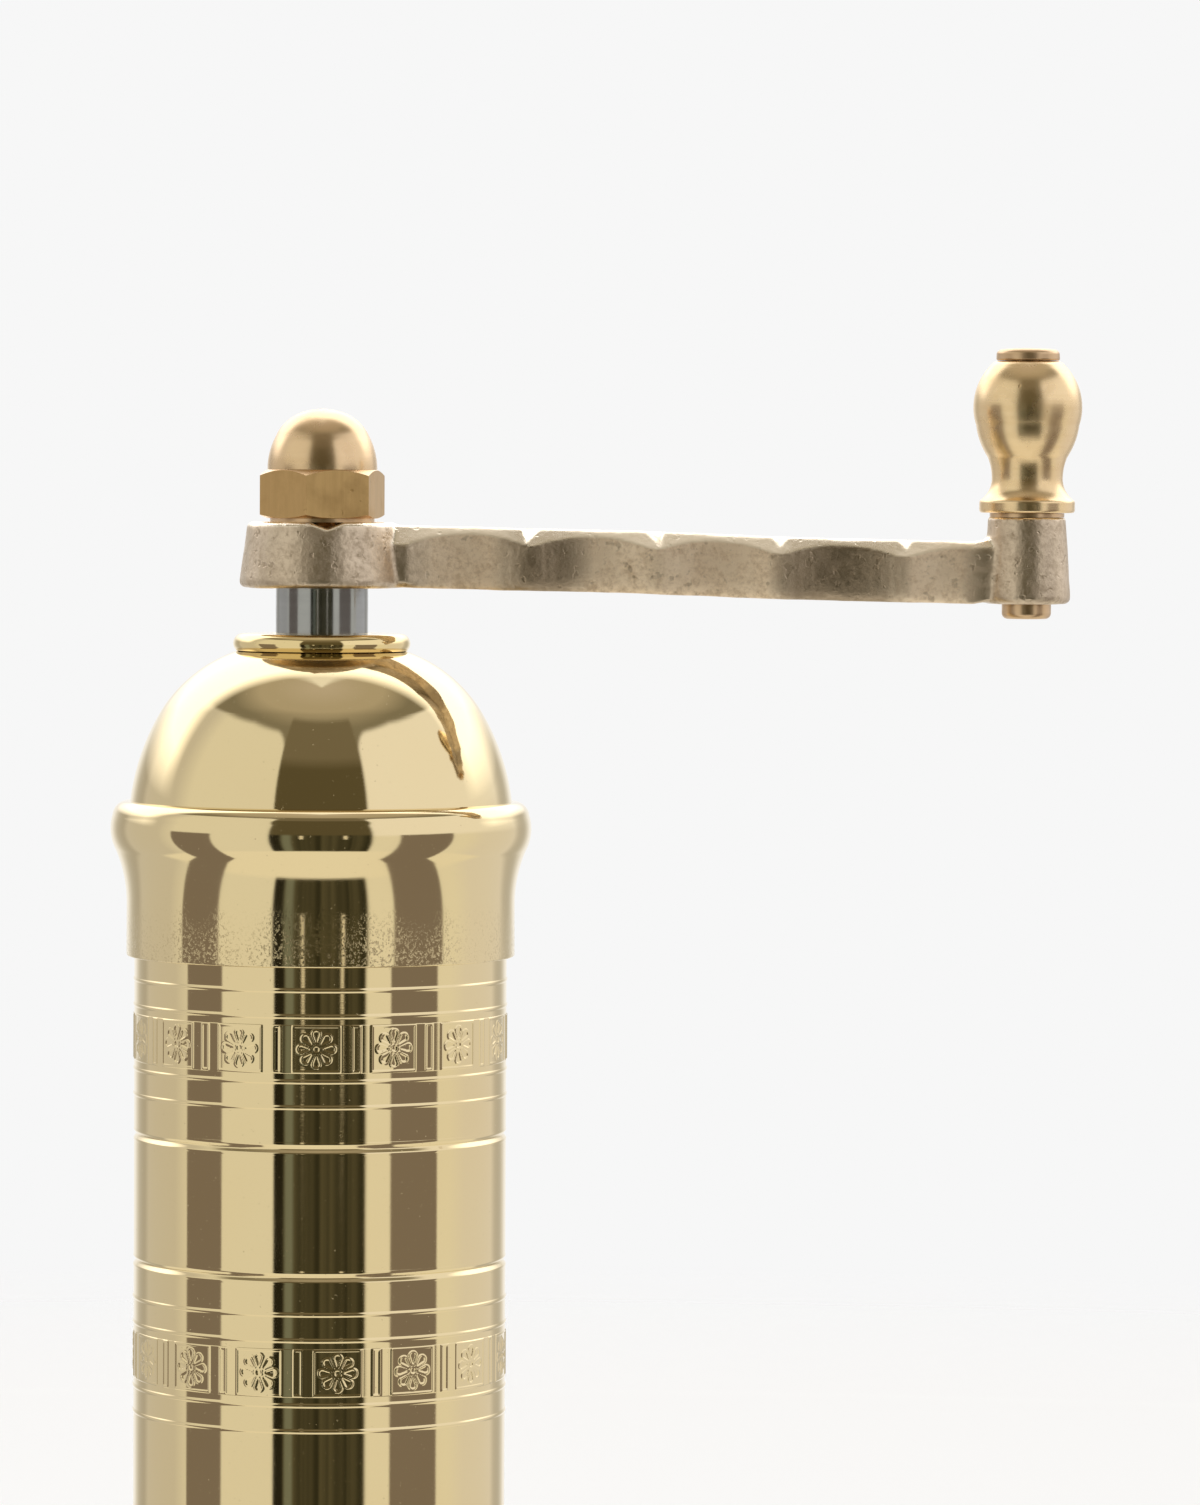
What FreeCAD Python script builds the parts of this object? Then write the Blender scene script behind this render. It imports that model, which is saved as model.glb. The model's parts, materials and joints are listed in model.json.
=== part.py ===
import FreeCAD, Part
import math
import os
from types import SimpleNamespace

import Sketcher
from FreeCAD import Vector

# A cylindrical brass coffee mill turned by a crank. Millimetres, +Z up, the origin at the
# centre of the cup's underside, the mill's axis along Z and the crank pointing along +X.

SIZES = {
    # Tubes of the cup and of the mill body
    "tube_radius": 25.0,
    "tube_wall": 1.0,
    "cup_height": 73.35,
    "upper_tube_length": 85.0,
    "floor_thickness": 1.6,
    # Decoration turned and rolled into both tubes
    "bead_width": 0.5,
    "bead_rise": 0.1,
    "bead_pitch": 3.4,
    "tile_gap": 1.3,
    "tile_height": 5.95,
    "tile_rise": 0.15,
    "groove_width": 0.95,
    "groove_depth": 0.25,
    "cup_band_margin": 3.6,
    "cup_rim_margin": 4.05,
    "body_foot_margin": 13.85,
    "body_rim_margin": 13.2,
    # Flared rings: the lid's collar and the cup's foot
    "waist_step": 1.05,
    "flare_height": 7.3,
    "flare_curve": 18.5,
    "flare_growth": 1.45,
    "bulge_height": 6.2,
    "bulge_curve": 7.8,
    "shoulder_height": 0.4,
    "shoulder_curve": 0.9,
    "shoulder_width": 0.8,
    "foot_straight": 1.1,
    # Lid
    "collar_straight": 6.8,
    "collar_overlap": 10.15,
    "collar_clearance": 0.05,
    "dome_wall": 1.0,
    "dome_base_step": 0.6,
    "dome_height": 20.2,
    "dome_knee_radius": 21.1,
    "dome_knee_height": 12.7,
    "dome_side_curve": 30.5,
    "dome_shoulder_curve": 19.2,
    "dome_crown_radius": 11.2,
    "dome_crown_step": 0.3,
    "bulge_taper": 0.1,
    "disc_radius": 11.5,
    "disc_top_radius": 10.7,
    "disc_edge_curve": 1.35,
    "disc_thickness": 2.3,
    "disc_spigot_radius": 9.0,
    "disc_spigot_length": 4.5,
    "bush_ring_width": 1.7,
    "bush_ring_height": 2.5,
    # Burr set and its housing
    "spigot_length": 8.0,
    "spigot_clearance": 0.08,
    "housing_rise": 10.0,
    "burr_barrel_radius": 15.0,
    "burr_barrel_height": 13.6,
    "burr_flange_radius": 22.5,
    "burr_flange_thickness": 2.2,
    "burr_mouth_radius": 12.8,
    "burr_throat_radius": 11.9,
    "burr_exit_radius": 12.6,
    "burr_exit_height": 8.0,
    "flute_radius": 0.7,
    "cone_radius": 12.2,
    "cone_rim_height": 1.65,
    "cone_height": 17.65,
    "cone_top_radius": 6.6,
    "cone_offset": 0.2,
    "tooth_depth": 0.9,
    "cone_bore_clearance": 0.04,
    # Fasteners of the burr set
    "screw_circle_radius": 18.6,
    "screw_radius": 1.5,
    "screw_hole_clearance": 0.1,
    "screw_head_radius": 2.8,
    "screw_head_height": 2.0,
    "screw_bite": 6.0,
    "screw_slot_width": 0.8,
    "screw_slot_depth": 0.9,
    # Bridge below the burrs and the adjusting screw in it
    "strap_width": 9.0,
    "strap_thickness": 2.5,
    "strap_reach": 22.0,
    "strap_leg_inside": 13.0,
    "strap_leg_thickness": 2.2,
    "strap_drop": 12.15,
    "crossbar_thickness": 3.5,
    "adjuster_radius": 2.95,
    "adjuster_clearance": 0.05,
    "adjuster_head_radius": 8.0,
    "adjuster_head_height": 6.0,
    "adjuster_head_gap": 1.5,
    "knurl_radius": 0.5,
    "ball_radius": 2.5,
    "ball_seat_clearance": 0.05,
    "ball_seat_gap": 1.2,
    # Drive shaft
    "shaft_radius": 4.0,
    "shaft_end_length": 1.5,
    "journal_radius": 6.2,
    "journal_depth": 9.0,
    "journal_taper": 4.0,
    "journal_clearance": 0.15,
    "square_side": 8.0,
    "square_clearance": 0.05,
    "thread_reach": 10.7,
    "burr_nut_flats": 12.0,
    "burr_nut_height": 3.0,
    # Spider that steadies the shaft, and the spring below it
    "spider_lift": 0.5,
    "spider_ring_width": 2.5,
    "spider_ring_height": 5.0,
    "spider_hub_radius": 8.0,
    "spider_hub_extra": 2.0,
    "spider_arm_width": 3.5,
    "bush_radius": 5.2,
    "bush_clearance": 0.06,
    "bush_flange_radius": 7.0,
    "bush_flange_height": 1.2,
    "spring_wire_radius": 0.6,
    "spring_coil_radius": 5.6,
    "spring_turns": 7.0,
    "spring_end_gap": 0.05,
    "spring_washer_radius": 7.0,
    "spring_washer_height": 1.0,
    "washer_clearance": 0.2,
    # Crank
    "crank_radius": 94.4,
    "shaft_gap": 6.1,
    "hub_radius": 11.06,
    "hub_draft": 0.96,
    "hub_height": 8.8,
    "hub_round": 0.8,
    "arm_step": 0.3,
    "arm_depth": 8.3,
    "arm_droop": 1.7,
    "arm_half_width": 4.7,
    "arm_top_half_width": 2.3,
    "arm_shoulder_drop": 2.7,
    "arm_foot_chamfer": 0.7,
    "arm_neck": 11.5,
    "scallop_depth": 1.5,
    "boss_radius": 5.9,
    "boss_draft": 0.7,
    "boss_height": 11.6,
    "boss_round": 0.8,
    # Knob and its pin
    "pin_radius": 3.3,
    "pin_neck_radius": 3.0,
    "pin_end_length": 2.0,
    "pin_head_radius": 4.25,
    "pin_head_height": 1.6,
    "pin_head_gap": 0.1,
    "knob_clearance": 0.1,
    "knob_washer_radius": 5.0,
    "knob_washer_height": 0.55,
    "knob_end_gap": 0.05,
    "knob_height": 20.3,
    "knob_foot_radius": 6.4,
    "knob_foot_height": 1.6,
    "knob_waist_radius": 4.75,
    "knob_waist_height": 4.8,
    "knob_neck_radius": 5.2,
    "knob_neck_height": 7.2,
    "knob_belly_radius": 6.9,
    "knob_belly_height": 11.7,
    "knob_top_radius": 4.9,
    "knob_top_chamfer": 0.6,
    "knob_top_slope": 0.96,
    "knob_foot_curve": 3.4,
    "knob_waist_curve": 9.0,
    "knob_neck_curve": 10.1,
    "knob_belly_curve": 7.9,
    # Cap nut
    "crank_washer_radius": 7.0,
    "crank_washer_height": 0.5,
    "nut_flats": 15.0,
    "nut_hex_height": 6.5,
    "nut_chamfer": 0.7,
    "nut_dome_radius": 7.35,
    "nut_dome_height": 8.6,
    "nut_shoulder_radius": 6.2,
    "nut_shoulder_height": 4.5,
    "nut_side_curve": 9.0,
    "nut_bore_clearance": 0.1,
    "nut_bore_extra": 0.6,
}

SCREW_PAIR = 2
SPIDER_ARMS = 3
BURR_FLUTES = 16
CONE_TEETH = 12
KNURL_CUTS = 28
CRANK_FACETS = 5
# The hexagons' first corners are turned this far from the crank's direction, in degrees.
NUT_TURN = 17.6
BURR_NUT_TURN = 8.0
# Direction of the dome wall's outward normal at the knee between its two curves.
KNEE_ACROSS = 0.84
KNEE_UP = 0.54


class Length:
    """A number of millimetres together with the expression that gives it from the sheet."""

    def __init__(self, value, text):
        self.value = value
        self.text = text

    def combined(self, sign, other, value):
        return Length(value, f"({self.text} {sign} {other.text})")

    def __add__(self, other):
        other = as_length(other)
        return self.combined("+", other, self.value + other.value)

    def __radd__(self, other):
        return as_length(other) + self

    def __sub__(self, other):
        other = as_length(other)
        return self.combined("-", other, self.value - other.value)

    def __rsub__(self, other):
        return as_length(other) - self

    def __mul__(self, other):
        other = as_length(other)
        return self.combined("*", other, self.value * other.value)

    def __rmul__(self, other):
        return as_length(other) * self

    def __truediv__(self, other):
        other = as_length(other)
        return self.combined("/", other, self.value / other.value)

    def __neg__(self):
        return as_length(-1) * self


def as_length(number):
    """Plain numbers stand for themselves in an expression."""
    if isinstance(number, Length):
        return number
    return Length(float(number), f"({float(number):.9f})")


doc = FreeCAD.newDocument("coffee_mill")
sheet = doc.addObject("Spreadsheet::Sheet", "Sizes")
for row, (alias, number) in enumerate(SIZES.items(), start=1):
    sheet.set(f"A{row}", alias)
    sheet.set(f"B{row}", str(number))
    sheet.setAlias(f"B{row}", alias)
doc.recompute()
size = SimpleNamespace(
    **{alias: Length(float(sheet.get(alias)), f"Sizes.{alias}") for alias in SIZES}
)

# Levels and radii that follow from the driving sizes. Heights count up from the floor.
tube_bore = size.tube_radius - size.tube_wall
tube_top = size.cup_height + size.upper_tube_length
band_height = 2 * size.bead_pitch + 2 * size.tile_gap + size.tile_height
waist_radius = size.tube_radius + size.waist_step
flare_end_radius = waist_radius + size.flare_growth
crown_radius = flare_end_radius - size.bulge_taper
flare_total = size.flare_height + size.bulge_height + size.shoulder_height
foot_height = size.foot_straight + flare_total
collar_bottom = tube_top - size.collar_overlap
collar_top = collar_bottom + size.collar_straight + flare_total
dome_base_radius = size.tube_radius + size.dome_base_step
dome_top = collar_top + size.dome_height
lid_top = dome_top + size.disc_thickness

spigot_bottom = size.cup_height - size.spigot_length
spigot_radius = tube_bore - size.spigot_clearance
housing_top = size.cup_height + size.housing_rise
burr_bottom = spigot_bottom - size.burr_flange_thickness
burr_top = spigot_bottom + size.burr_barrel_height
cone_bottom = burr_bottom + size.cone_offset
cone_top = cone_bottom + size.cone_height
burr_nut_bottom = cone_bottom - size.burr_nut_height
shaft_end = burr_nut_bottom - size.shaft_end_length
ball_centre = shaft_end - size.ball_seat_gap
# The ball sits between two countersinks of 90 degrees, so the cone's tip is sqrt(2) radii away.
ball_seat_depth = math.sqrt(2) * (size.ball_radius + size.ball_seat_clearance)
ball_seat_mouth = ball_seat_depth - size.ball_seat_gap
adjuster_tip = ball_centre - size.ball_seat_gap
crossbar_top = burr_bottom - size.strap_drop
crossbar_bottom = crossbar_top - size.crossbar_thickness
adjuster_head_top = crossbar_bottom - size.adjuster_head_gap
screw_hole_radius = size.screw_radius + size.screw_hole_clearance

body_band_low = size.cup_height + size.body_foot_margin
body_band_high = tube_top - size.body_rim_margin - band_height
body_plain = body_band_high - body_band_low - band_height
# The two deep grooves stand this share of the plain stretch in from the bands beside it.
GROOVE_LOW_SHARE = 0.178
GROOVE_HIGH_SHARE = 0.2
body_low_groove = body_band_low + band_height + GROOVE_LOW_SHARE * body_plain
spider_bottom = body_low_groove + size.groove_width / 2 + size.spider_lift
spider_hub_bottom = spider_bottom - size.spider_hub_extra
spider_hub_top = spider_bottom + size.spider_ring_height + size.spider_hub_extra
spring_bottom = cone_top + size.spring_washer_height

hub_bottom = lid_top + size.shaft_gap
hub_top = hub_bottom + size.hub_height
hub_top_radius = size.hub_radius - size.hub_draft
nut_bottom = hub_top + size.crank_washer_height
nut_hex_top = nut_bottom + size.nut_hex_height
nut_top = nut_hex_top + size.nut_dome_height
thread_top = hub_top + size.thread_reach
arm_top = hub_top - size.arm_step
boss_bottom = hub_bottom - size.arm_droop
boss_top = boss_bottom + size.boss_height
knob_bottom = boss_top + size.knob_washer_height + size.knob_end_gap
knob_top = knob_bottom + size.knob_height
knob_bore = size.pin_neck_radius + size.knob_clearance


def bind(thing, prop, length):
    """Set a property to a length and keep it tied to the sheet."""
    thing.setExpression(prop, length.text)


def new_body(label):
    body = doc.addObject("PartDesign::Body", label)
    body.Label = label
    return body


def origin_feature(body, role):
    return next(item for item in body.Origin.OriginFeatures if item.Role == role)


def new_sketch(body, name, role, offset=None, axis="z"):
    """A sketch on one of the body's origin planes, moved along the plane's own axis."""
    sketch = body.newObject("Sketcher::SketchObject", name)
    sketch.AttachmentSupport = [(origin_feature(body, role), "")]
    sketch.MapMode = "FlatFace"
    if offset is not None:
        bind(sketch, f"AttachmentOffset.Base.{axis}", offset)
    return sketch


def tie(sketch, kind, length, *where):
    """Add one sketch constraint whose value follows the sheet."""
    index = sketch.addConstraint(Sketcher.Constraint(kind, *where, length.value))
    if "Sizes." in length.text:
        sketch.setExpression(f"Constraints[{index}]", length.text)


def fix_point(sketch, edge, point, across, up):
    tie(sketch, "DistanceX", across, -1, 1, edge, point)
    tie(sketch, "DistanceY", up, -1, 1, edge, point)


def arc_between(start, end, radius, side):
    """The short arc from start to end; side +1 bulges to the right of the way travelled."""
    chord = end - start
    left = Vector(-chord.y, chord.x, 0).normalize()
    reach = math.sqrt(radius**2 - (chord.Length / 2) ** 2)
    centre = (start + end) / 2 + left * side * reach
    first, last = (start, end) if side > 0 else (end, start)
    first_angle = math.atan2(first.y - centre.y, first.x - centre.x)
    last_angle = math.atan2(last.y - centre.y, last.x - centre.x)
    if last_angle < first_angle:
        last_angle += 2 * math.pi
    return Part.ArcOfCircle(Part.Circle(centre, Vector(0, 0, 1), radius), first_angle, last_angle)


def draw_outline(sketch, corners):
    """Draw a closed outline. A corner is (x, y), or (x, y, radius, side) if an arc follows."""
    corners = [tuple(as_length(item) for item in corner[:3]) + corner[3:] for corner in corners]
    points = [Vector(corner[0].value, corner[1].value, 0) for corner in corners]
    edges = []
    for number, corner in enumerate(corners):
        start = points[number]
        end = points[(number + 1) % len(points)]
        if len(corner) == 2:
            edge = sketch.addGeometry(Part.LineSegment(start, end))
            edges.append((edge, 1, 2))
            continue
        arc = arc_between(start, end, corner[2].value, corner[3])
        edge = sketch.addGeometry(arc)
        edges.append((edge, 1, 2) if corner[3] > 0 else (edge, 2, 1))
    for number, (edge, first, last) in enumerate(edges):
        fix_point(sketch, edge, first, corners[number][0], corners[number][1])
        after, after_first, _ = edges[(number + 1) % len(edges)]
        sketch.addConstraint(Sketcher.Constraint("Coincident", edge, last, after, after_first))
        if len(corners[number]) > 2:
            tie(sketch, "Radius", corners[number][2], edge)


def draw_circle(sketch, radius, across=0, up=0):
    across = as_length(across)
    up = as_length(up)
    radius = as_length(radius)
    circle = Part.Circle(Vector(across.value, up.value, 0), Vector(0, 0, 1), radius.value)
    edge = sketch.addGeometry(circle)
    fix_point(sketch, edge, 3, across, up)
    tie(sketch, "Radius", radius, edge)


def hexagon(flats, turn):
    """Corners of a regular hexagon from its width across flats and its turn in degrees."""
    reach = flats / math.sqrt(3)
    angles = [math.radians(turn + 60 * corner) for corner in range(6)]
    return [(reach * math.cos(angle), reach * math.sin(angle)) for angle in angles]


def check_cut(body, feature, volume_before):
    """A cut has to take material away."""
    doc.recompute()
    if not body.Shape.Volume < volume_before - 1e-3:
        raise RuntimeError(f"{feature.Name} cut nothing from {body.Label}")


def turned(body, name, corners, centre=None):
    """Turn an outline of (radius, height) corners about a vertical axis at x = centre."""
    sketch = new_sketch(body, f"{name}_outline", "XZ_Plane", centre, axis="x")
    draw_outline(sketch, corners)
    feature = body.newObject("PartDesign::Revolution", name)
    feature.Profile = sketch
    feature.ReferenceAxis = (sketch, ["V_Axis"])
    feature.Angle = 360
    return feature


def turned_away(body, name, corners):
    """Cut an outline of (radius, height) corners away all round the Z axis."""
    doc.recompute()
    volume = body.Shape.Volume
    sketch = new_sketch(body, f"{name}_outline", "XZ_Plane")
    draw_outline(sketch, corners)
    feature = body.newObject("PartDesign::Groove", name)
    feature.Profile = sketch
    feature.ReferenceAxis = (sketch, ["V_Axis"])
    feature.Angle = 360
    check_cut(body, feature, volume)
    return feature


def raised(body, name, bottom, height, draw):
    """Pad upwards from a level; draw puts the profile in the sketch."""
    sketch = new_sketch(body, f"{name}_outline", "XY_Plane", bottom)
    draw(sketch)
    feature = body.newObject("PartDesign::Pad", name)
    feature.Profile = sketch
    bind(feature, "Length", height)
    return feature


def hollowed(body, name, bottom, height, draw):
    """Pocket upwards from a level; draw puts the profile in the sketch."""
    doc.recompute()
    volume = body.Shape.Volume
    sketch = new_sketch(body, f"{name}_outline", "XY_Plane", bottom)
    draw(sketch)
    feature = body.newObject("PartDesign::Pocket", name)
    feature.Profile = sketch
    feature.Reversed = True
    bind(feature, "Length", height)
    check_cut(body, feature, volume)
    return feature


def repeated(body, feature, name, count):
    """Repeat a feature all round the Z axis."""
    pattern = body.newObject("PartDesign::PolarPattern", name)
    pattern.Originals = [feature]
    pattern.Axis = (origin_feature(body, "Z_Axis"), [""])
    pattern.Angle = 360
    pattern.Occurrences = count
    body.Tip = pattern
    return pattern


def bead(height):
    half = size.bead_width / 2
    return [
        (size.tube_radius, height - half),
        (size.tube_radius + size.bead_rise, height),
        (size.tube_radius, height + half),
    ]


def deep_groove(height):
    half = size.groove_width / 2
    return [
        (size.tube_radius, height - half),
        (size.tube_radius - size.groove_depth, height),
        (size.tube_radius, height + half),
    ]


def band(bottom):
    """Two beads, a raised strip for the tiles, and two beads."""
    strip_bottom = bottom + size.bead_pitch + size.tile_gap
    strip_top = strip_bottom + size.tile_height
    strip_radius = size.tube_radius + size.tile_rise
    strip = [
        (size.tube_radius, strip_bottom),
        (strip_radius, strip_bottom),
        (strip_radius, strip_top),
        (size.tube_radius, strip_top),
    ]
    upper_bead = strip_top + size.tile_gap
    below = bead(bottom) + bead(bottom + size.bead_pitch)
    return below + strip + bead(upper_bead) + bead(upper_bead + size.bead_pitch)


def decorated_tube(label, bottom, top, low_band, high_band):
    """A thin tube with a band near each end and two deep grooves between the bands."""
    plain = high_band - low_band - band_height
    low_groove = low_band + band_height + GROOVE_LOW_SHARE * plain
    high_groove = high_band - GROOVE_HIGH_SHARE * plain
    body = new_body(label)
    corners = [(tube_bore, bottom), (size.tube_radius, bottom)]
    corners += band(low_band) + deep_groove(low_groove)
    corners += deep_groove(high_groove) + band(high_band)
    corners += [(size.tube_radius, top), (tube_bore, top)]
    turned(body, "tube_wall", corners)
    return body


def make_cup_tube():
    low_band = foot_height + size.cup_band_margin
    high_band = size.cup_height - size.cup_rim_margin - band_height
    return decorated_tube("cup_tube", as_length(0), size.cup_height, low_band, high_band)


def make_upper_tube():
    return decorated_tube("upper_tube", size.cup_height, tube_top, body_band_low, body_band_high)


def flared_side(start, direction, straight):
    """Outer side of a flared ring, from its narrow edge to its wide shoulder."""
    flare_start = start + direction * straight
    flare_end = flare_start + direction * size.flare_height
    bulge_end = flare_end + direction * size.bulge_height
    shoulder = bulge_end + direction * size.shoulder_height
    return [
        (waist_radius, start),
        (waist_radius, flare_start, size.flare_curve, -direction),
        (flare_end_radius, flare_end, size.bulge_curve, direction),
        (crown_radius, bulge_end, size.shoulder_curve, direction),
        (crown_radius - size.shoulder_width, shoulder),
    ]


def make_foot_ring():
    body = new_body("foot_ring")
    corners = flared_side(foot_height, -1, size.foot_straight)
    corners += [(size.tube_radius, 0), (size.tube_radius, foot_height)]
    turned(body, "ring", corners)
    return body


def make_cup_base():
    body = new_body("cup_base")
    raised(body, "disc", as_length(0), size.floor_thickness, lambda sketch: draw_circle(sketch, tube_bore))
    return body


def make_lid_collar():
    """The skirt slides over the tube's rim and rests on it with an inner step."""
    skirt_bore = size.tube_radius + size.collar_clearance
    body = new_body("lid_collar")
    corners = flared_side(collar_bottom, 1, size.collar_straight)
    corners += [
        (tube_bore, collar_top),
        (tube_bore, tube_top),
        (skirt_bore, tube_top),
        (skirt_bore, collar_bottom),
    ]
    turned(body, "ring", corners)
    return body


def make_lid_dome():
    knee_height = collar_top + size.dome_knee_height
    wall_across = KNEE_ACROSS * size.dome_wall
    wall_up = KNEE_UP * size.dome_wall
    under = dome_top - size.dome_wall
    body = new_body("lid_dome")
    corners = [
        (dome_base_radius, collar_top, size.dome_side_curve, 1),
        (size.dome_knee_radius, knee_height, size.dome_shoulder_curve, 1),
        (size.dome_crown_radius, dome_top),
        (size.disc_spigot_radius, dome_top),
        (size.disc_spigot_radius, under),
        (size.dome_crown_radius - size.dome_crown_step, under, size.dome_shoulder_curve - size.dome_wall, -1),
        (size.dome_knee_radius - wall_across, knee_height - wall_up, size.dome_side_curve - size.dome_wall, -1),
        (dome_base_radius - size.dome_wall, collar_top),
    ]
    turned(body, "shell", corners)
    return body


def make_lid_disc():
    """A flanged bush: the flange covers the dome's hole and the bore guides the shaft."""
    bore = size.journal_radius + size.journal_clearance
    spigot_end = dome_top - size.disc_spigot_length
    body = new_body("lid_disc")
    corners = [
        (bore, spigot_end),
        (size.disc_spigot_radius, spigot_end),
        (size.disc_spigot_radius, dome_top),
        (size.disc_radius, dome_top, size.disc_edge_curve, 1),
        (size.disc_top_radius, lid_top),
        (bore, lid_top),
    ]
    turned(body, "bush", corners)
    return body


def make_lid_bush_ring():
    """The ring pressed on the bush under the dome, which holds the bush in."""
    top = dome_top - size.dome_wall
    bottom = top - size.bush_ring_height
    outside = size.disc_spigot_radius + size.bush_ring_width
    body = new_body("lid_bush_ring")
    corners = [
        (size.disc_spigot_radius, bottom),
        (outside, bottom),
        (outside, top),
        (size.disc_spigot_radius, top),
    ]
    turned(body, "ring", corners)
    return body


def draw_screw_hole(radius, turn):
    """Profile of the first of the two screw holes, at a turn of 0 or 90 degrees."""
    across = size.screw_circle_radius * round(math.cos(math.radians(turn)))
    up = size.screw_circle_radius * round(math.sin(math.radians(turn)))
    return lambda sketch: draw_circle(sketch, radius, across, up)


def make_burr_housing():
    """Brass ring in the lower end of the tube; its spigot fits the cup and it holds the burr."""
    body = new_body("burr_housing")
    corners = [
        (size.burr_barrel_radius, spigot_bottom),
        (spigot_radius, spigot_bottom),
        (spigot_radius, size.cup_height),
        (tube_bore, size.cup_height),
        (tube_bore, housing_top),
        (size.burr_barrel_radius, burr_top),
    ]
    turned(body, "ring", corners)
    for turn in (0, 90):
        draw = draw_screw_hole(size.screw_radius, turn)
        hole = hollowed(body, f"tapped_hole_{turn}", spigot_bottom, size.screw_bite, draw)
        repeated(body, hole, f"tapped_holes_{turn}", SCREW_PAIR)
    return body


def make_outer_burr():
    """Hardened ring burr with a flange below the housing and fluted walls."""
    throat = burr_bottom + size.burr_exit_height
    body = new_body("outer_burr")
    corners = [
        (size.burr_exit_radius, burr_bottom),
        (size.burr_flange_radius, burr_bottom),
        (size.burr_flange_radius, spigot_bottom),
        (size.burr_barrel_radius, spigot_bottom),
        (size.burr_barrel_radius, burr_top),
        (size.burr_mouth_radius, burr_top),
        (size.burr_throat_radius, throat),
    ]
    turned(body, "ring", corners)
    for turn in (0, 90):
        draw = draw_screw_hole(screw_hole_radius, turn)
        hole = hollowed(body, f"screw_hole_{turn}", burr_bottom, size.burr_flange_thickness, draw)
        repeated(body, hole, f"screw_holes_{turn}", SCREW_PAIR)
    flute = hollowed(
        body,
        "flute",
        throat,
        burr_top - throat,
        lambda sketch: draw_circle(sketch, size.flute_radius, size.burr_mouth_radius),
    )
    repeated(body, flute, "flutes", BURR_FLUTES)
    return body


def make_inner_burr():
    """Cone burr on the shaft, with notches round its rim as the grinding teeth."""
    rim_top = cone_bottom + size.cone_rim_height
    bore = size.shaft_radius + size.cone_bore_clearance
    body = new_body("inner_burr")
    corners = [
        (bore, cone_bottom),
        (size.cone_radius, cone_bottom),
        (size.cone_radius, rim_top),
        (size.cone_top_radius, cone_top),
        (bore, cone_top),
    ]
    turned(body, "cone", corners)
    tooth = hollowed(
        body,
        "tooth_gap",
        cone_bottom,
        size.cone_height,
        lambda sketch: draw_circle(sketch, size.tooth_depth, size.cone_radius),
    )
    repeated(body, tooth, "tooth_gaps", CONE_TEETH)
    return body


def screw_pair(label, turn, head_top):
    """Two cheese-head screws on opposite sides, driven upwards into the housing."""
    bite_end = spigot_bottom + size.screw_bite
    head_bottom = head_top - size.screw_head_height
    half_slot = size.screw_slot_width / 2
    centre_x = size.screw_circle_radius * round(math.cos(math.radians(turn)))
    centre_y = size.screw_circle_radius * round(math.sin(math.radians(turn)))
    slot = [
        (centre_x - half_slot, centre_y - 2 * size.screw_head_radius),
        (centre_x + half_slot, centre_y - 2 * size.screw_head_radius),
        (centre_x + half_slot, centre_y + 2 * size.screw_head_radius),
        (centre_x - half_slot, centre_y + 2 * size.screw_head_radius),
    ]
    pieces = []
    for number, centre_sign in enumerate((1, -1)):
        body = doc.addObject("PartDesign::Body", f"{label}_{number + 1}")
        raised(
            body,
            "head",
            head_bottom,
            size.screw_head_height,
            lambda sketch: draw_circle(
                sketch, size.screw_head_radius, centre_sign * centre_x, centre_sign * centre_y
            ),
        )
        raised(
            body,
            "shank",
            head_top,
            bite_end - head_top,
            lambda sketch: draw_circle(
                sketch, size.screw_radius, centre_sign * centre_x, centre_sign * centre_y
            ),
        )
        corners = [(centre_sign * across, centre_sign * up) for across, up in slot]
        hollowed(body, "slot", head_bottom, size.screw_slot_depth, lambda sketch: draw_outline(sketch, corners))
        pieces.append(body)
    group = doc.addObject("Part::Compound", label)
    group.Label = label
    group.Links = pieces
    return group


def make_burr_screws():
    return screw_pair("burr_screws", 90, burr_bottom)


def make_bridge_screws():
    return screw_pair("bridge_screws", 0, burr_bottom - size.strap_thickness)


def make_lower_bridge():
    """Strap bridge under the burrs: two feet, two legs and a crossbar with a tapped hole."""
    inside = size.strap_leg_inside
    outside = inside + size.strap_leg_thickness
    foot_bottom = burr_bottom - size.strap_thickness
    body = new_body("lower_bridge")
    half = [
        (outside, crossbar_bottom),
        (outside, foot_bottom),
        (size.strap_reach, foot_bottom),
        (size.strap_reach, burr_bottom),
        (inside, burr_bottom),
        (inside, crossbar_top),
    ]
    other_half = [(-across, up) for across, up in reversed(half)]
    sketch = new_sketch(body, "strap_outline", "XZ_Plane")
    draw_outline(sketch, half + other_half)
    strap = body.newObject("PartDesign::Pad", "strap")
    strap.Profile = sketch
    strap.SideType = "Symmetric"
    bind(strap, "Length", size.strap_width)
    hollowed(
        body,
        "adjuster_hole",
        crossbar_bottom,
        size.crossbar_thickness,
        lambda sketch: draw_circle(sketch, size.adjuster_radius + size.adjuster_clearance),
    )
    hole = hollowed(body, "foot_hole", foot_bottom, size.strap_thickness, draw_screw_hole(screw_hole_radius, 0))
    repeated(body, hole, "foot_holes", SCREW_PAIR)
    return body


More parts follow.
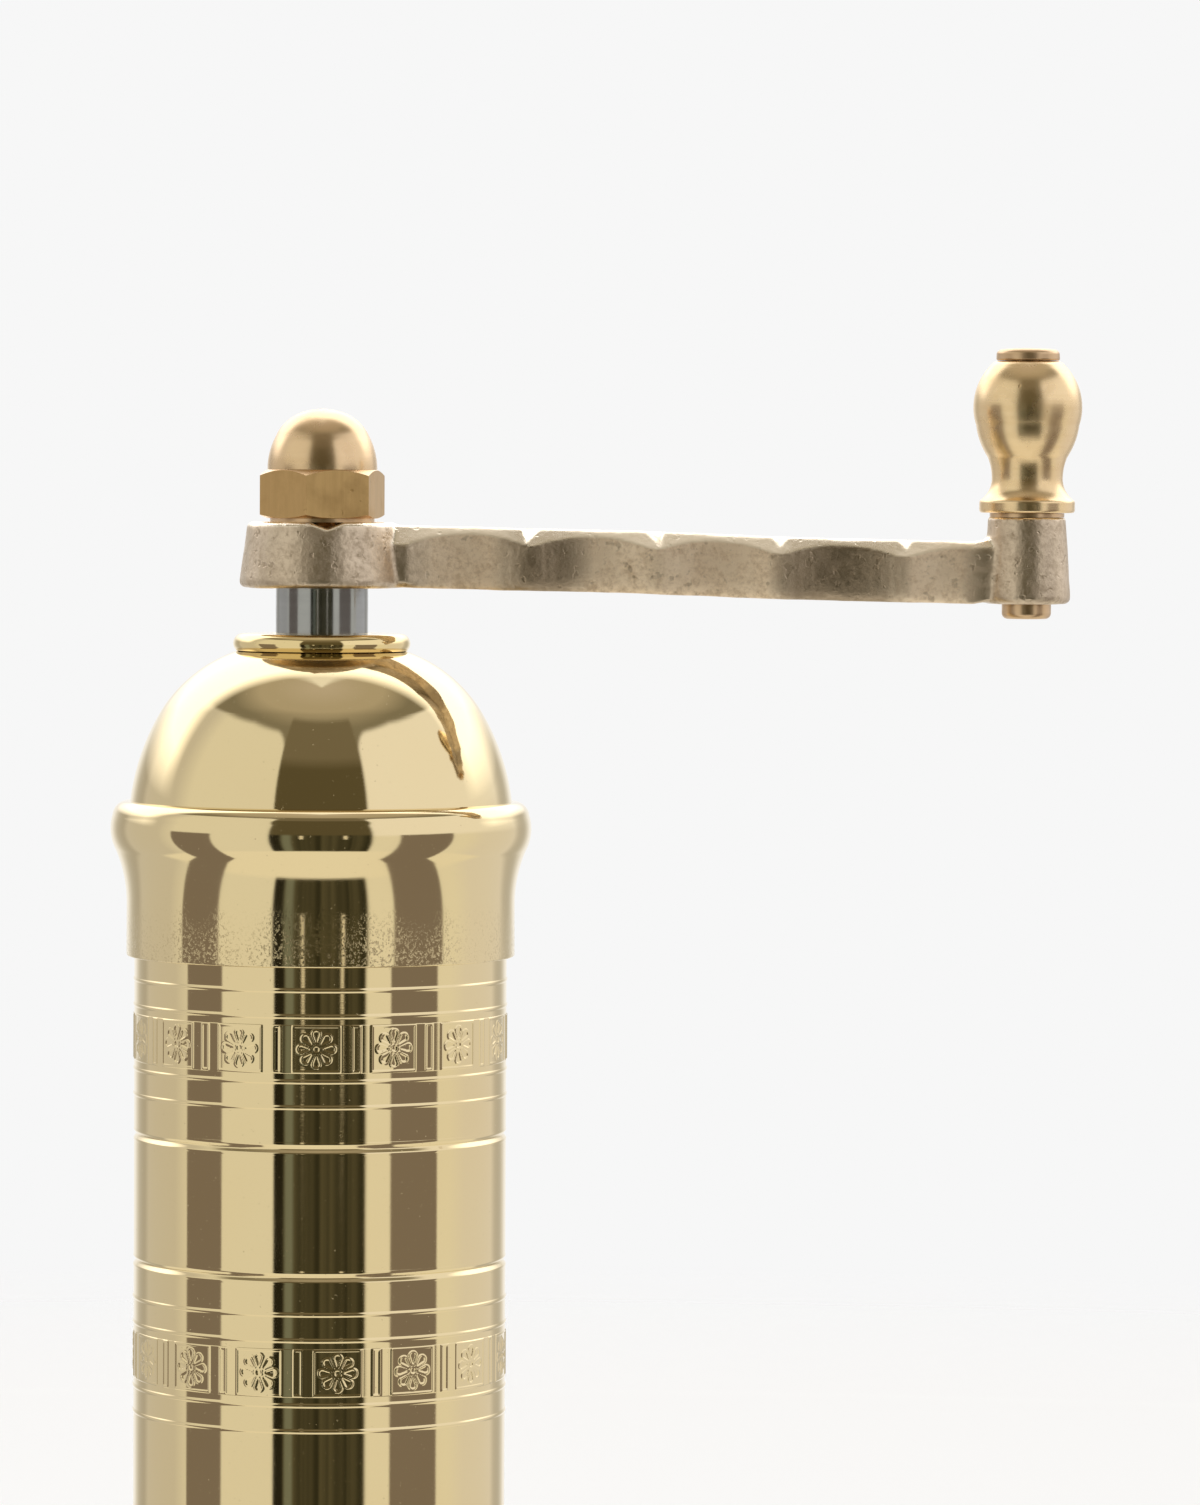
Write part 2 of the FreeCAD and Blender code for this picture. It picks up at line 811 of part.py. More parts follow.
def make_adjusting_screw():
    """Thumb screw in the bridge; the ball in its tip carries the shaft."""
    head_bottom = adjuster_head_top - size.adjuster_head_height
    body = new_body("adjusting_screw")
    corners = [
        (0, head_bottom),
        (size.adjuster_head_radius, head_bottom),
        (size.adjuster_head_radius, adjuster_head_top),
        (size.adjuster_radius, adjuster_head_top),
        (size.adjuster_radius, adjuster_tip),
        (ball_seat_mouth, adjuster_tip),
        (0, ball_centre - ball_seat_depth),
    ]
    turned(body, "screw", corners)
    knurl = hollowed(
        body,
        "knurl_cut",
        head_bottom,
        size.adjuster_head_height,
        lambda sketch: draw_circle(sketch, size.knurl_radius, size.adjuster_head_radius),
    )
    repeated(body, knurl, "knurling", KNURL_CUTS)
    return body


def make_thrust_ball():
    ball = doc.addObject("Part::Sphere", "thrust_ball")
    ball.Label = "thrust_ball"
    bind(ball, "Radius", size.ball_radius)
    bind(ball, "Placement.Base.z", ball_centre)
    return ball


def make_drive_shaft():
    """Steel shaft: ball seat, plain length, thick journal, square for the crank and thread."""
    journal_bottom = lid_top - size.journal_depth
    body = new_body("drive_shaft")
    corners = [
        (0, ball_centre + ball_seat_depth),
        (ball_seat_mouth, shaft_end),
        (size.shaft_radius, shaft_end),
        (size.shaft_radius, journal_bottom - size.journal_taper),
        (size.journal_radius, journal_bottom),
        (size.journal_radius, hub_bottom),
        (size.shaft_radius, hub_bottom),
        (size.shaft_radius, thread_top),
        (0, thread_top),
    ]
    turned(body, "rod", corners)
    raised(body, "square", hub_bottom, size.hub_height, draw_square(size.square_side))
    return body


def draw_square(side):
    half = side / 2
    corners = [(-half, -half), (half, -half), (half, half), (-half, half)]
    return lambda sketch: draw_outline(sketch, corners)


def make_burr_nut():
    body = new_body("burr_nut")
    corners = hexagon(size.burr_nut_flats, BURR_NUT_TURN)

    def draw(sketch):
        draw_outline(sketch, corners)
        draw_circle(sketch, size.shaft_radius)

    raised(body, "nut", burr_nut_bottom, size.burr_nut_height, draw)
    return body


def washer(label, bottom, height, outside, inside, centre=0):
    body = new_body(label)

    def draw(sketch):
        draw_circle(sketch, outside, centre)
        draw_circle(sketch, inside, centre)

    raised(body, "disc", bottom, height, draw)
    return body


def make_spring_washer():
    bore = size.shaft_radius + size.washer_clearance
    return washer("spring_washer", cone_top, size.spring_washer_height, size.spring_washer_radius, bore)


def make_shaft_spring():
    """Compression spring that keeps the cone burr down on the adjusting screw."""
    gap = size.spring_wire_radius + size.spring_end_gap
    body = new_body("shaft_spring")
    sketch = new_sketch(body, "wire_section", "XZ_Plane")
    draw_circle(sketch, size.spring_wire_radius, size.spring_coil_radius, spring_bottom + gap)
    coil = body.newObject("PartDesign::AdditiveHelix", "coil")
    coil.Profile = sketch
    coil.ReferenceAxis = (sketch, ["V_Axis"])
    coil.Mode = "height-turns-angle"
    bind(coil, "Height", spider_hub_bottom - spring_bottom - 2 * gap)
    bind(coil, "Turns", size.spring_turns)
    return body


def make_top_bridge():
    """Spider inside the tube: a rim, three arms and a hub for the shaft's bush."""
    inside = tube_bore - size.spider_ring_width
    body = new_body("top_bridge")

    def draw_rim(sketch):
        draw_circle(sketch, tube_bore)
        draw_circle(sketch, inside)

    def draw_hub(sketch):
        draw_circle(sketch, size.spider_hub_radius)
        draw_circle(sketch, size.bush_radius)

    half = size.spider_arm_width / 2
    arm_start = (size.bush_radius + size.spider_hub_radius) / 2
    arm_end = inside + size.spider_ring_width / 2
    arm = [(arm_start, -half), (arm_end, -half), (arm_end, half), (arm_start, half)]
    raised(body, "rim", spider_bottom, size.spider_ring_height, draw_rim)
    spoke = raised(
        body, "arm", spider_bottom, size.spider_ring_height, lambda sketch: draw_outline(sketch, arm)
    )
    repeated(body, spoke, "arms", SPIDER_ARMS)
    raised(body, "hub", spider_hub_bottom, spider_hub_top - spider_hub_bottom, draw_hub)
    return body


def make_top_bush():
    bore = size.shaft_radius + size.bush_clearance
    body = new_body("top_bush")
    corners = [
        (bore, spider_hub_bottom),
        (size.bush_radius, spider_hub_bottom),
        (size.bush_radius, spider_hub_top),
        (size.bush_flange_radius, spider_hub_top),
        (size.bush_flange_radius, spider_hub_top + size.bush_flange_height),
        (bore, spider_hub_top + size.bush_flange_height),
    ]
    turned(body, "bush", corners)
    return body


def arm_section(body, name, position, top):
    """Section across the arm: flat top, sloping shoulders, upright sides."""
    bottom = top - size.arm_depth
    shoulder = top - size.arm_shoulder_drop
    foot = size.arm_half_width - size.arm_foot_chamfer
    right = [
        (foot, bottom),
        (size.arm_half_width, bottom + size.arm_foot_chamfer),
        (size.arm_half_width, shoulder),
        (size.arm_top_half_width, top),
    ]
    left = [(-across, up) for across, up in reversed(right)]
    sketch = new_sketch(body, name, "YZ_Plane", position)
    draw_outline(sketch, right + left)
    return sketch


def make_crank_arm():
    """Cast arm with scalloped sides, a hub for the shaft's square and a boss for the knob pin."""
    facet = (size.crank_radius - size.arm_neck) / CRANK_FACETS
    scallop_radius = (facet * facet / 4 + size.scallop_depth * size.scallop_depth) / (2 * size.scallop_depth)
    scallop_centre = size.arm_half_width + scallop_radius - size.scallop_depth
    body = new_body("crank_arm")
    near = arm_section(body, "hub_section", size.hub_radius / 2, arm_top)
    far = arm_section(body, "boss_section", size.crank_radius, arm_top - size.arm_droop)
    arm = body.newObject("PartDesign::AdditiveLoft", "arm")
    arm.Profile = near
    arm.Sections = [far]
    arm.Ruled = True
    for number in range(CRANK_FACETS):
        middle = size.arm_neck + facet * (number + 0.5)
        for side in (1, -1):
            hollowed(
                body,
                f"scallop_{number + 1}",
                boss_bottom - size.arm_depth,
                3 * size.arm_depth,
                lambda sketch: draw_circle(sketch, scallop_radius, middle, side * scallop_centre),
            )
    turned(body, "hub", [
        (0, hub_bottom),
        (size.hub_radius - size.hub_round, hub_bottom, size.hub_round, 1),
        (size.hub_radius, hub_bottom + size.hub_round),
        (hub_top_radius, hub_top - size.hub_round, size.hub_round, 1),
        (hub_top_radius - size.hub_round, hub_top),
        (0, hub_top),
    ])
    turned(body, "boss", [
        (0, boss_bottom),
        (size.boss_radius - size.boss_round, boss_bottom, size.boss_round, 1),
        (size.boss_radius, boss_bottom + size.boss_round),
        (size.boss_radius - size.boss_draft, boss_top),
        (0, boss_top),
    ], size.crank_radius)
    square = size.square_side + 2 * size.square_clearance
    hollowed(body, "square_hole", hub_bottom, size.hub_height, draw_square(square))
    hollowed(
        body,
        "pin_hole",
        boss_bottom,
        size.boss_height,
        lambda sketch: draw_circle(sketch, size.pin_radius, size.crank_radius),
    )
    return body


def make_crank_washer():
    bore = size.square_side / math.sqrt(2) + size.washer_clearance
    return washer("crank_washer", hub_top, size.crank_washer_height, size.crank_washer_radius, bore)


def make_knob_washer():
    bore = size.pin_neck_radius
    outside = size.knob_washer_radius
    return washer("knob_washer", boss_top, size.knob_washer_height, outside, bore, size.crank_radius)


def make_knob_pin():
    """Pin riveted in the boss; the knob turns on its neck and its head keeps the knob on."""
    bottom = boss_bottom - size.pin_end_length
    head_bottom = knob_top + size.pin_head_gap
    head_top = head_bottom + size.pin_head_height
    edge = size.pin_head_height / 4
    body = new_body("knob_pin")
    corners = [
        (0, bottom),
        (size.pin_radius - edge, bottom, edge, 1),
        (size.pin_radius, bottom + edge),
        (size.pin_radius, boss_top),
        (size.pin_neck_radius, boss_top),
        (size.pin_neck_radius, head_bottom),
        (size.pin_head_radius, head_bottom),
        (size.pin_head_radius, head_top - edge, edge, 1),
        (size.pin_head_radius - edge, head_top),
        (0, head_top),
    ]
    turned(body, "pin", corners, size.crank_radius)
    return body


def make_knob():
    """Turned grip: a flange, a waist and a rounded head."""
    foot_top = knob_bottom + size.knob_foot_height
    shoulder = knob_top - size.knob_top_chamfer
    body = new_body("knob")
    corners = [
        (knob_bore, knob_bottom),
        (size.knob_foot_radius, knob_bottom),
        (size.knob_foot_radius, foot_top, size.knob_foot_curve, -1),
        (size.knob_waist_radius, knob_bottom + size.knob_waist_height, size.knob_waist_curve, -1),
        (size.knob_neck_radius, knob_bottom + size.knob_neck_height, size.knob_neck_curve, 1),
        (size.knob_belly_radius, knob_bottom + size.knob_belly_height, size.knob_belly_curve, 1),
        (size.knob_top_radius, shoulder),
        (size.knob_top_radius - size.knob_top_slope, knob_top),
        (knob_bore, knob_top),
    ]
    turned(body, "grip", corners, size.crank_radius)
    return body


def make_cap_nut():
    """Domed nut on the shaft's thread: a chamfered hexagon under a bullet-shaped dome."""
    corner_reach = 0.6 * size.nut_flats
    chamfer_start = size.nut_flats / 2 - size.nut_chamfer / 4
    crown = size.nut_dome_height - size.nut_shoulder_height
    shoulder = size.nut_shoulder_radius
    crown_curve = (shoulder * shoulder + crown * crown) / (2 * crown)
    corners = hexagon(size.nut_flats, NUT_TURN)
    body = new_body("cap_nut")
    raised(body, "hexagon", nut_bottom, size.nut_hex_height, lambda sketch: draw_outline(sketch, corners))
    turned_away(body, "upper_chamfer", [
        (chamfer_start, nut_hex_top),
        (corner_reach, nut_hex_top - size.nut_chamfer),
        (corner_reach, nut_hex_top),
    ])
    turned_away(body, "lower_chamfer", [
        (chamfer_start, nut_bottom),
        (corner_reach, nut_bottom),
        (corner_reach, nut_bottom + size.nut_chamfer),
    ])
    turned(body, "dome", [
        (0, nut_hex_top),
        (size.nut_dome_radius, nut_hex_top, size.nut_side_curve, 1),
        (shoulder, nut_hex_top + size.nut_shoulder_height, crown_curve, 1),
        (0, nut_top),
    ])
    bore_height = thread_top - nut_bottom + size.nut_bore_extra
    bore_radius = size.shaft_radius + size.nut_bore_clearance
    hollowed(body, "bore", nut_bottom, bore_height, lambda sketch: draw_circle(sketch, bore_radius))
    return body


nodes = [
    make_cup_tube(),
    make_foot_ring(),
    make_cup_base(),
    make_upper_tube(),
    make_burr_housing(),
    make_outer_burr(),
    make_burr_screws(),
    make_lower_bridge(),
    make_bridge_screws(),
    make_top_bridge(),
    make_top_bush(),
    make_lid_collar(),
    make_lid_dome(),
    make_lid_disc(),
    make_lid_bush_ring(),
    make_adjusting_screw(),
    make_thrust_ball(),
    make_drive_shaft(),
    make_inner_burr(),
    make_burr_nut(),
    make_spring_washer(),
    make_shaft_spring(),
    make_crank_arm(),
    make_crank_washer(),
    make_knob_pin(),
    make_knob_washer(),
    make_knob(),
    make_cap_nut(),
]

doc.recompute()
for item in doc.Objects:
    if "Invalid" in item.State or "Error" in item.State:
        raise RuntimeError(f"{item.Name} failed to compute: {item.State}")
for node in nodes:
    if node.Shape.isNull() or not node.Shape.isValid():
        raise RuntimeError(f"{node.Label} has no valid shape")

os.makedirs("parts", exist_ok=True)
for node in nodes:
    node.Shape.exportStep(f"parts/{node.Label}.step")
    box = node.Shape.BoundBox
    print(f"{node.Label}: {len(node.Shape.Solids)} solid(s), z {box.ZMin:.2f} to {box.ZMax:.2f}")
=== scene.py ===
"""Looks of a brass hand coffee mill: turned shells, rolled bands, cast crank, works and studio."""

import json
import logging
import math
from dataclasses import dataclass, field
from enum import Enum
from typing import Optional, Sequence, Union

import bmesh
import bpy
import numpy as np
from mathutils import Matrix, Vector, noise


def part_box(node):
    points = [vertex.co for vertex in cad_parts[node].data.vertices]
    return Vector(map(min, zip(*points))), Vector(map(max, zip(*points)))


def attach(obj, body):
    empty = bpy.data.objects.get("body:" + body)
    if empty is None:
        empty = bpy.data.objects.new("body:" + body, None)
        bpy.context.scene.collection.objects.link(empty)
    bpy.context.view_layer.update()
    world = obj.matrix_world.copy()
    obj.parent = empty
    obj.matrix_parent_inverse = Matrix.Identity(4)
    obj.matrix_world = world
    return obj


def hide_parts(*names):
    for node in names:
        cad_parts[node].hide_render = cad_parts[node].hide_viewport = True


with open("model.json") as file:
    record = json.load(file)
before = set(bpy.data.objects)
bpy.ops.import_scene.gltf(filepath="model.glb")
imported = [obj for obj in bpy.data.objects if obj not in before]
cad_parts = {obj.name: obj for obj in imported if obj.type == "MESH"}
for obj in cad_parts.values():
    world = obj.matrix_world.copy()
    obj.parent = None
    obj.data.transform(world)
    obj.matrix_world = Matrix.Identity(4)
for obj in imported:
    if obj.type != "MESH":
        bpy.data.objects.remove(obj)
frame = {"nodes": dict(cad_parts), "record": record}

MM = 0.001
BODY_BANDS = (13.85 * MM, 56.45 * MM)
BODY_TURNS = (7.7, 1.0)
CUP_BANDS = (18.6 * MM, 53.95 * MM)
CUP_TURNS = (-3.0, 4.0)
Colour = tuple[float, float, float]
Point = tuple[float, float]
log = logging.getLogger("coffee_mill")


class Side(Enum):
    """Which way an arc of an outline bulges, seen along the way it is drawn."""

    RIGHT = 1
    LEFT = -1


class Grain(Enum):
    """Direction of the fine tool marks on a finish."""

    ROUND = "marks run round the axis, as a lathe leaves them"
    UPRIGHT = "marks run up and down, as drawn hexagon bar has them"


class Value:
    """A number socket of a node tree that arithmetic extends with Math nodes."""

    def __init__(self, tree: "Tree", socket: bpy.types.NodeSocket) -> None:
        """Wrap a socket.

        Args:
            tree: The tree that owns the socket.
            socket: The output socket.
        """
        self.tree = tree
        self.socket = socket

    def math(self, operation: str, *others: Union["Value", float], clamp: bool = False) -> "Value":
        """Add one Math node behind this value.

        Args:
            operation: The Math node's operation.
            others: Its other operands.
            clamp: Whether the result is kept between 0 and 1.

        Returns:
            The node's result.
        """
        node = self.tree.add(
            "ShaderNodeMath",
            {"operation": operation, "use_clamp": clamp},
            dict(enumerate((self,) + others)),
        )
        return Value(self.tree, node.outputs[0])

    def __add__(self, other: Union["Value", float]) -> "Value":
        """Sum with another value or number."""
        return self.math("ADD", other)

    __radd__ = __add__

    def __mul__(self, other: Union["Value", float]) -> "Value":
        """Product with another value or number."""
        return self.math("MULTIPLY", other)

    __rmul__ = __mul__

    def __sub__(self, other: Union["Value", float]) -> "Value":
        """This value less another value or number."""
        return self.math("SUBTRACT", other)

    def __rsub__(self, other: float) -> "Value":
        """A number less this value."""
        return self * -1.0 + other

    def __truediv__(self, other: Union["Value", float]) -> "Value":
        """This value over another value or number."""
        return self.math("DIVIDE", other)

    def clamped(self) -> "Value":
        """The value kept between 0 and 1."""
        return self.math("ADD", 0.0, clamp=True)

    def above(self, edge: float, softness: float) -> "Value":
        """A mask that rises from 0 to 1 round an edge.

        Args:
            edge: Where the mask is a half.
            softness: How wide the rise is.

        Returns:
            The mask.
        """
        return ((self - edge) / softness + 0.5).clamped()

    def between(self, low: float, high: float, softness: float) -> "Value":
        """A mask that is 1 between two edges.

        Args:
            low: The lower edge.
            high: The upper edge.
            softness: How wide each rise is.

        Returns:
            The mask.
        """
        return self.above(low, softness) * (1 - self.above(high, softness))


class Tree:
    """A node tree that is built by adding nodes with their settings and links."""

    def __init__(self, owner: Union[bpy.types.Material, bpy.types.World]) -> None:
        """Empty the owner's node tree and hold it.

        Args:
            owner: The material or world.
        """
        owner.use_nodes = True
        self.tree = owner.node_tree
        self.tree.nodes.clear()

    def add(
        self,
        kind: str,
        settings: Optional[dict] = None,
        sockets: Optional[dict] = None,
    ) -> bpy.types.Node:
        """Add a node.

        Args:
            kind: The node's type.
            settings: Its properties, set first; "stops" are a ramp's (place, colour) pairs.
            sockets: Values or links of its inputs, by name or number.

        Returns:
            The node.
        """
        node = self.tree.nodes.new(kind)
        for name, value in (settings or {}).items():
            if name == "stops":
                self.set_stops(node.color_ramp.elements, value)
            else:
                setattr(node, name, value)
        for name, value in (sockets or {}).items():
            target = node.inputs[name]
            if isinstance(value, Value):
                self.tree.links.new(value.socket, target)
            elif isinstance(value, bpy.types.NodeSocket):
                self.tree.links.new(value, target)
            else:
                target.default_value = value
        return node

    @staticmethod
    def set_stops(elements: bpy.types.bpy_prop_collection, stops: Sequence[tuple[float, Colour]]) -> None:
        """Give a colour ramp its stops.

        Args:
            elements: The ramp's elements.
            stops: Pairs of a place and a colour.
        """
        while len(elements) < len(stops):
            elements.new(1.0)
        for element, (place, colour) in zip(elements, stops):
            element.position = place
            element.color = (*colour, 1.0)

    def coordinates(self, name: str = "Object") -> bpy.types.NodeSocket:
        """The texture coordinates of the given name."""
        return self.add("ShaderNodeTexCoord").outputs[name]

    def axes(self, vector: bpy.types.NodeSocket) -> tuple[Value, Value, Value]:
        """Split a vector into its three numbers."""
        node = self.add("ShaderNodeSeparateXYZ", None, {0: vector})
        return tuple(Value(self, output) for output in node.outputs)

    def stretched(self, vector: bpy.types.NodeSocket, factors: Colour) -> bpy.types.NodeSocket:
        """A vector with each axis multiplied by its own factor."""
        node = self.add("ShaderNodeVectorMath", {"operation": "MULTIPLY"}, {0: vector, 1: factors})
        return node.outputs[0]

    def noise(
        self, vector: bpy.types.NodeSocket, scale: float, detail: float = 2.0, roughness: float = 0.5
    ) -> Value:
        """A noise texture.

        Args:
            vector: Where it is read.
            scale: Its features per metre.
            detail: Its octaves.
            roughness: How strong the finer octaves are.

        Returns:
            The noise, from about 0.2 to 0.8.
        """
        node = self.add(
            "ShaderNodeTexNoise",
            None,
            {"Vector": vector, "Scale": scale, "Detail": detail, "Roughness": roughness},
        )
        return Value(self, node.outputs[0])

    def mixed(
        self, factor: Union[Value, float], first: Union[Colour, bpy.types.NodeSocket],
        second: Union[Colour, bpy.types.NodeSocket],
    ) -> bpy.types.NodeSocket:
        """Mix two colours.

        Args:
            factor: 0 gives the first colour and 1 the second.
            first: A colour or a link.
            second: A colour or a link.

        Returns:
            The mixed colour.
        """
        ends = [item if isinstance(item, bpy.types.NodeSocket) else (*item, 1.0) for item in (first, second)]
        node = self.add(
            "ShaderNodeMix",
            {"data_type": "RGBA"},
            {0: factor, 6: ends[0], 7: ends[1]},
        )
        return node.outputs[2]

    def bumped(self, height: Value, depth: float, strength: float = 1.0) -> bpy.types.NodeSocket:
        """A normal bent by a height.

        Args:
            height: The height, where 1 is the full depth.
            depth: The full depth in metres.
            strength: How much of the effect counts.

        Returns:
            The normal.
        """
        node = self.add("ShaderNodeBump", None, {"Strength": strength, "Distance": depth, "Height": height})
        return node.outputs[0]


@dataclass(frozen=True)
class Metal:
    """What every metal finish has: a name, a colour and a roughness."""

    name: str
    colour: Colour
    roughness: float

    def shader(self, tree: Tree, colour: bpy.types.NodeSocket, roughness: Value,
               normal: bpy.types.NodeSocket) -> None:
        """Finish the tree with a metal shader.

        Args:
            tree: The material's tree.
            colour: The base colour.
            roughness: The roughness.
            normal: The bent normal.
        """
        surface = tree.add(
            "ShaderNodeBsdfPrincipled",
            None,
            {"Metallic": 1.0, "Base Color": colour, "Roughness": roughness, "Normal": normal},
        )
        tree.add("ShaderNodeOutputMaterial", None, {"Surface": surface.outputs[0]})

    def material(self) -> bpy.types.Material:
        """Make the material once and return it."""
        made = bpy.data.materials.get(self.name)
        if made is None:
            made = bpy.data.materials.new(self.name)
            self.build(Tree(made))
        return made

    def build(self, tree: Tree) -> None:
        """Put the finish's nodes in the tree."""
        raise NotImplementedError


@dataclass(frozen=True)
class MirrorBrass(Metal):
    """Buffed brass: near mirror, with buffing hairlines, a soft waviness and a pitted zone."""

    warm: Colour = (0.78, 0.60, 0.32)
    wave_depth: float = 0.012 * MM
    line_depth: float = 0.0012 * MM
    pit_zone: Optional[tuple[float, float]] = None
    pit_depth: float = 0.012 * MM
    pit_shade: Colour = (0.40, 0.29, 0.14)

    def build(self, tree: Tree) -> None:
        """Put the buffed finish's nodes in the tree."""
        place = tree.coordinates()
        _, _, height = tree.axes(place)
        tarnish = tree.noise(place, 45.0, 4.0).above(0.56, 0.35)
        smears = tree.noise(tree.stretched(place, (1.0, 1.0, 0.35)), 160.0, 3.0).above(0.55, 0.3)
        lines = tree.noise(tree.stretched(place, (1.0, 1.0, 26.0)), 420.0, 3.0, 0.7)
        waves = tree.noise(tree.stretched(place, (1.0, 1.0, 0.5)), 95.0, 1.0)
        specks = tree.noise(place, 2600.0, 2.0, 0.6)
        scattered = specks.above(0.755, 0.03)
        pits = scattered
        if self.pit_zone is not None:
            zone = height.between(self.pit_zone[0], self.pit_zone[1], 7.0 * MM)
            crowd = tree.noise(place, 2400.0, 3.0, 0.7).above(0.60, 0.12)
            pits = (scattered + crowd * zone).clamped()
        colour = tree.mixed(tarnish * 0.25, self.colour, self.warm)
        colour = tree.mixed(pits * 0.30, colour, self.pit_shade)
        roughness = smears * 0.035 + pits * 0.22 + self.roughness
        hairlines = tree.bumped(lines, self.line_depth)
        wavy = tree.add(
            "ShaderNodeBump",
            None,
            {"Strength": 1.0, "Distance": self.wave_depth, "Height": waves, "Normal": hairlines},
        ).outputs[0]
        pitted = tree.add(
            "ShaderNodeBump",
            {"invert": True},
            {"Strength": 1.0, "Distance": self.pit_depth, "Height": pits, "Normal": wavy},
        ).outputs[0]
        self.shader(tree, colour, roughness, pitted)


@dataclass(frozen=True)
class WorkedMetal(Metal):
    """Machined metal with tool marks in one direction and a few nicks."""

    grain: Grain = Grain.ROUND
    shade: Colour = (0.40, 0.28, 0.14)
    mark_depth: float = 0.010 * MM
    mark_scale: float = 900.0

    def build(self, tree: Tree) -> None:
        """Put the machined finish's nodes in the tree."""
        place = tree.coordinates()
        along = (0.05, 0.05, 1.0) if self.grain is Grain.ROUND else (1.0, 1.0, 0.05)
        marks = tree.noise(tree.stretched(place, along), self.mark_scale, 4.0, 0.7)
        broad = tree.noise(tree.stretched(place, along), self.mark_scale * 0.22, 2.0)
        stain = tree.noise(place, 240.0, 4.0, 0.6).above(0.60, 0.20)
        nicks = tree.noise(place, 900.0, 2.0).above(0.74, 0.05)
        colour = tree.mixed(marks.above(0.42, 0.3) * -0.30 + 0.30, self.colour, self.shade)
        colour = tree.mixed(stain * 0.30 + nicks * 0.5, colour, self.shade)
        roughness = broad * 0.16 + stain * 0.10 + self.roughness
        self.shader(tree, colour, roughness, tree.bumped(marks + broad - nicks, self.mark_depth))


@dataclass(frozen=True)
class SandCast(Metal):
    """Brass as it leaves a sand mould, tumbled so that high spots shine and hollows are dull, with painted
    light and shade on the arm and a painted highlight on its upward faces.
    """

    hollow: Colour = (0.30, 0.22, 0.14)
    # painted light: paler colour of the arm, standing in for the pale screens that its facets reflect
    painted_arm_light: Colour = (1.0, 0.84, 0.64)
    # painted highlight: pale colour laid on faces that point upwards, standing in for the bright light
    # overhead
    wear_and_sheen: Colour = (1.0, 0.90, 0.72)
    patch: Colour = (0.74, 0.57, 0.40)
    # painted shade: darker colour for the stretches of the arm's front whose facets face the dim gap of the
    # room
    painted_gap_shade: Colour = (0.36, 0.275, 0.185)
    arm_ends: Point = (13.0 * MM, 87.0 * MM)
    grain_depth: float = 0.08 * MM
    # listed stretches along the arm that get the painted shade
    painted_gap_shade_zones: tuple[Point, ...] = ((24.5 * MM, 34.5 * MM), (61.5 * MM, 77.0 * MM))

    def build(self, tree: Tree) -> None:
        """Put the cast finish's nodes in the tree."""
        place = tree.coordinates()
        grains = tree.noise(place, 1500.0, 5.0, 0.65)
        lumps = tree.noise(place, 420.0, 3.0, 0.55)
        patches = tree.noise(place, 110.0, 3.0, 0.6)
        pores = tree.noise(place, 760.0, 2.0, 0.5).above(0.66, 0.08)
        low = 1 - (grains * 0.6 + lumps * 0.4).above(0.47, 0.16)
        along, _, _ = tree.axes(place)
        arm = along.above(self.arm_ends[0], 4.0 * MM) * (1 - along.above(self.arm_ends[1], 3.0 * MM))
        # Painted light: the arm's stretch of the casting takes a paler colour that stands in for the pale
        # screens its facets reflect.
        plain = tree.mixed(arm, self.colour, self.painted_arm_light)
        colour = tree.mixed(patches.above(0.5, 0.3) * 0.25, plain, self.patch)
        colour = tree.mixed((low * 0.30 + pores * 0.35).clamped(), colour, self.hollow)
        # Painted shade: stretches of the arm whose facets face the dim gap of the room are darkened.
        painted_gap_shade = sum(along.between(start, end, 4.0 * MM) for start, end in self.painted_gap_shade_zones)
        colour = tree.mixed((painted_gap_shade * 0.85).clamped(), colour, self.painted_gap_shade)
        # Painted highlight: faces that point upwards are paled, standing in for the bright light they reflect
        # from overhead.
        _, _, facing_up = tree.axes(tree.coordinates("Normal"))
        wear_and_sheen = facing_up.above(0.42, 0.25)
        colour = tree.mixed(wear_and_sheen * 0.75, colour, self.wear_and_sheen)
        roughness = low * 0.18 + patches * 0.10 + arm * 0.26 - painted_gap_shade * 0.22 - wear_and_sheen * 0.16 + self.roughness
        fine = tree.bumped(grains * 0.7 + lumps - pores * 0.5, self.grain_depth)
        self.shader(tree, colour, roughness, fine)


PALE_GOLD = (0.80, 0.655, 0.385)
SHELL_BRASS = MirrorBrass("buffed_brass_shell", PALE_GOLD, 0.035)
COLLAR_BRASS = MirrorBrass("buffed_brass_collar", PALE_GOLD, 0.05, pit_zone=(140 * MM, 153 * MM))
FOOT_BRASS = MirrorBrass("buffed_brass_foot", PALE_GOLD, 0.05, pit_zone=(-5 * MM, 4 * MM))
DOME_BRASS = MirrorBrass("buffed_brass_dome", PALE_GOLD, 0.04)
DISC_BRASS = MirrorBrass("buffed_brass_disc", (0.83, 0.66, 0.34), 0.06)
KNOB_BRASS = WorkedMetal("turned_brass_knob", (0.86, 0.65, 0.38), 0.17, shade=(0.74, 0.50, 0.24))
NUT_DOME = WorkedMetal("turned_bronze_nut", (0.77, 0.56, 0.33), 0.16, shade=(0.66, 0.45, 0.24))
NUT_HEX = WorkedMetal("drawn_bronze_hexagon", (0.66, 0.43, 0.185), 0.22, Grain.UPRIGHT,
                      shade=(0.42, 0.25, 0.09))
PIN_BRASS = WorkedMetal("turned_bronze_pin", (0.67, 0.47, 0.28), 0.22, shade=(0.50, 0.32, 0.16))
INNER_BRASS = WorkedMetal("machined_brass_inside", (0.74, 0.58, 0.30), 0.26)
ARM_BRASS = SandCast("cast_brass_arm", (0.66, 0.54, 0.40), 0.27)
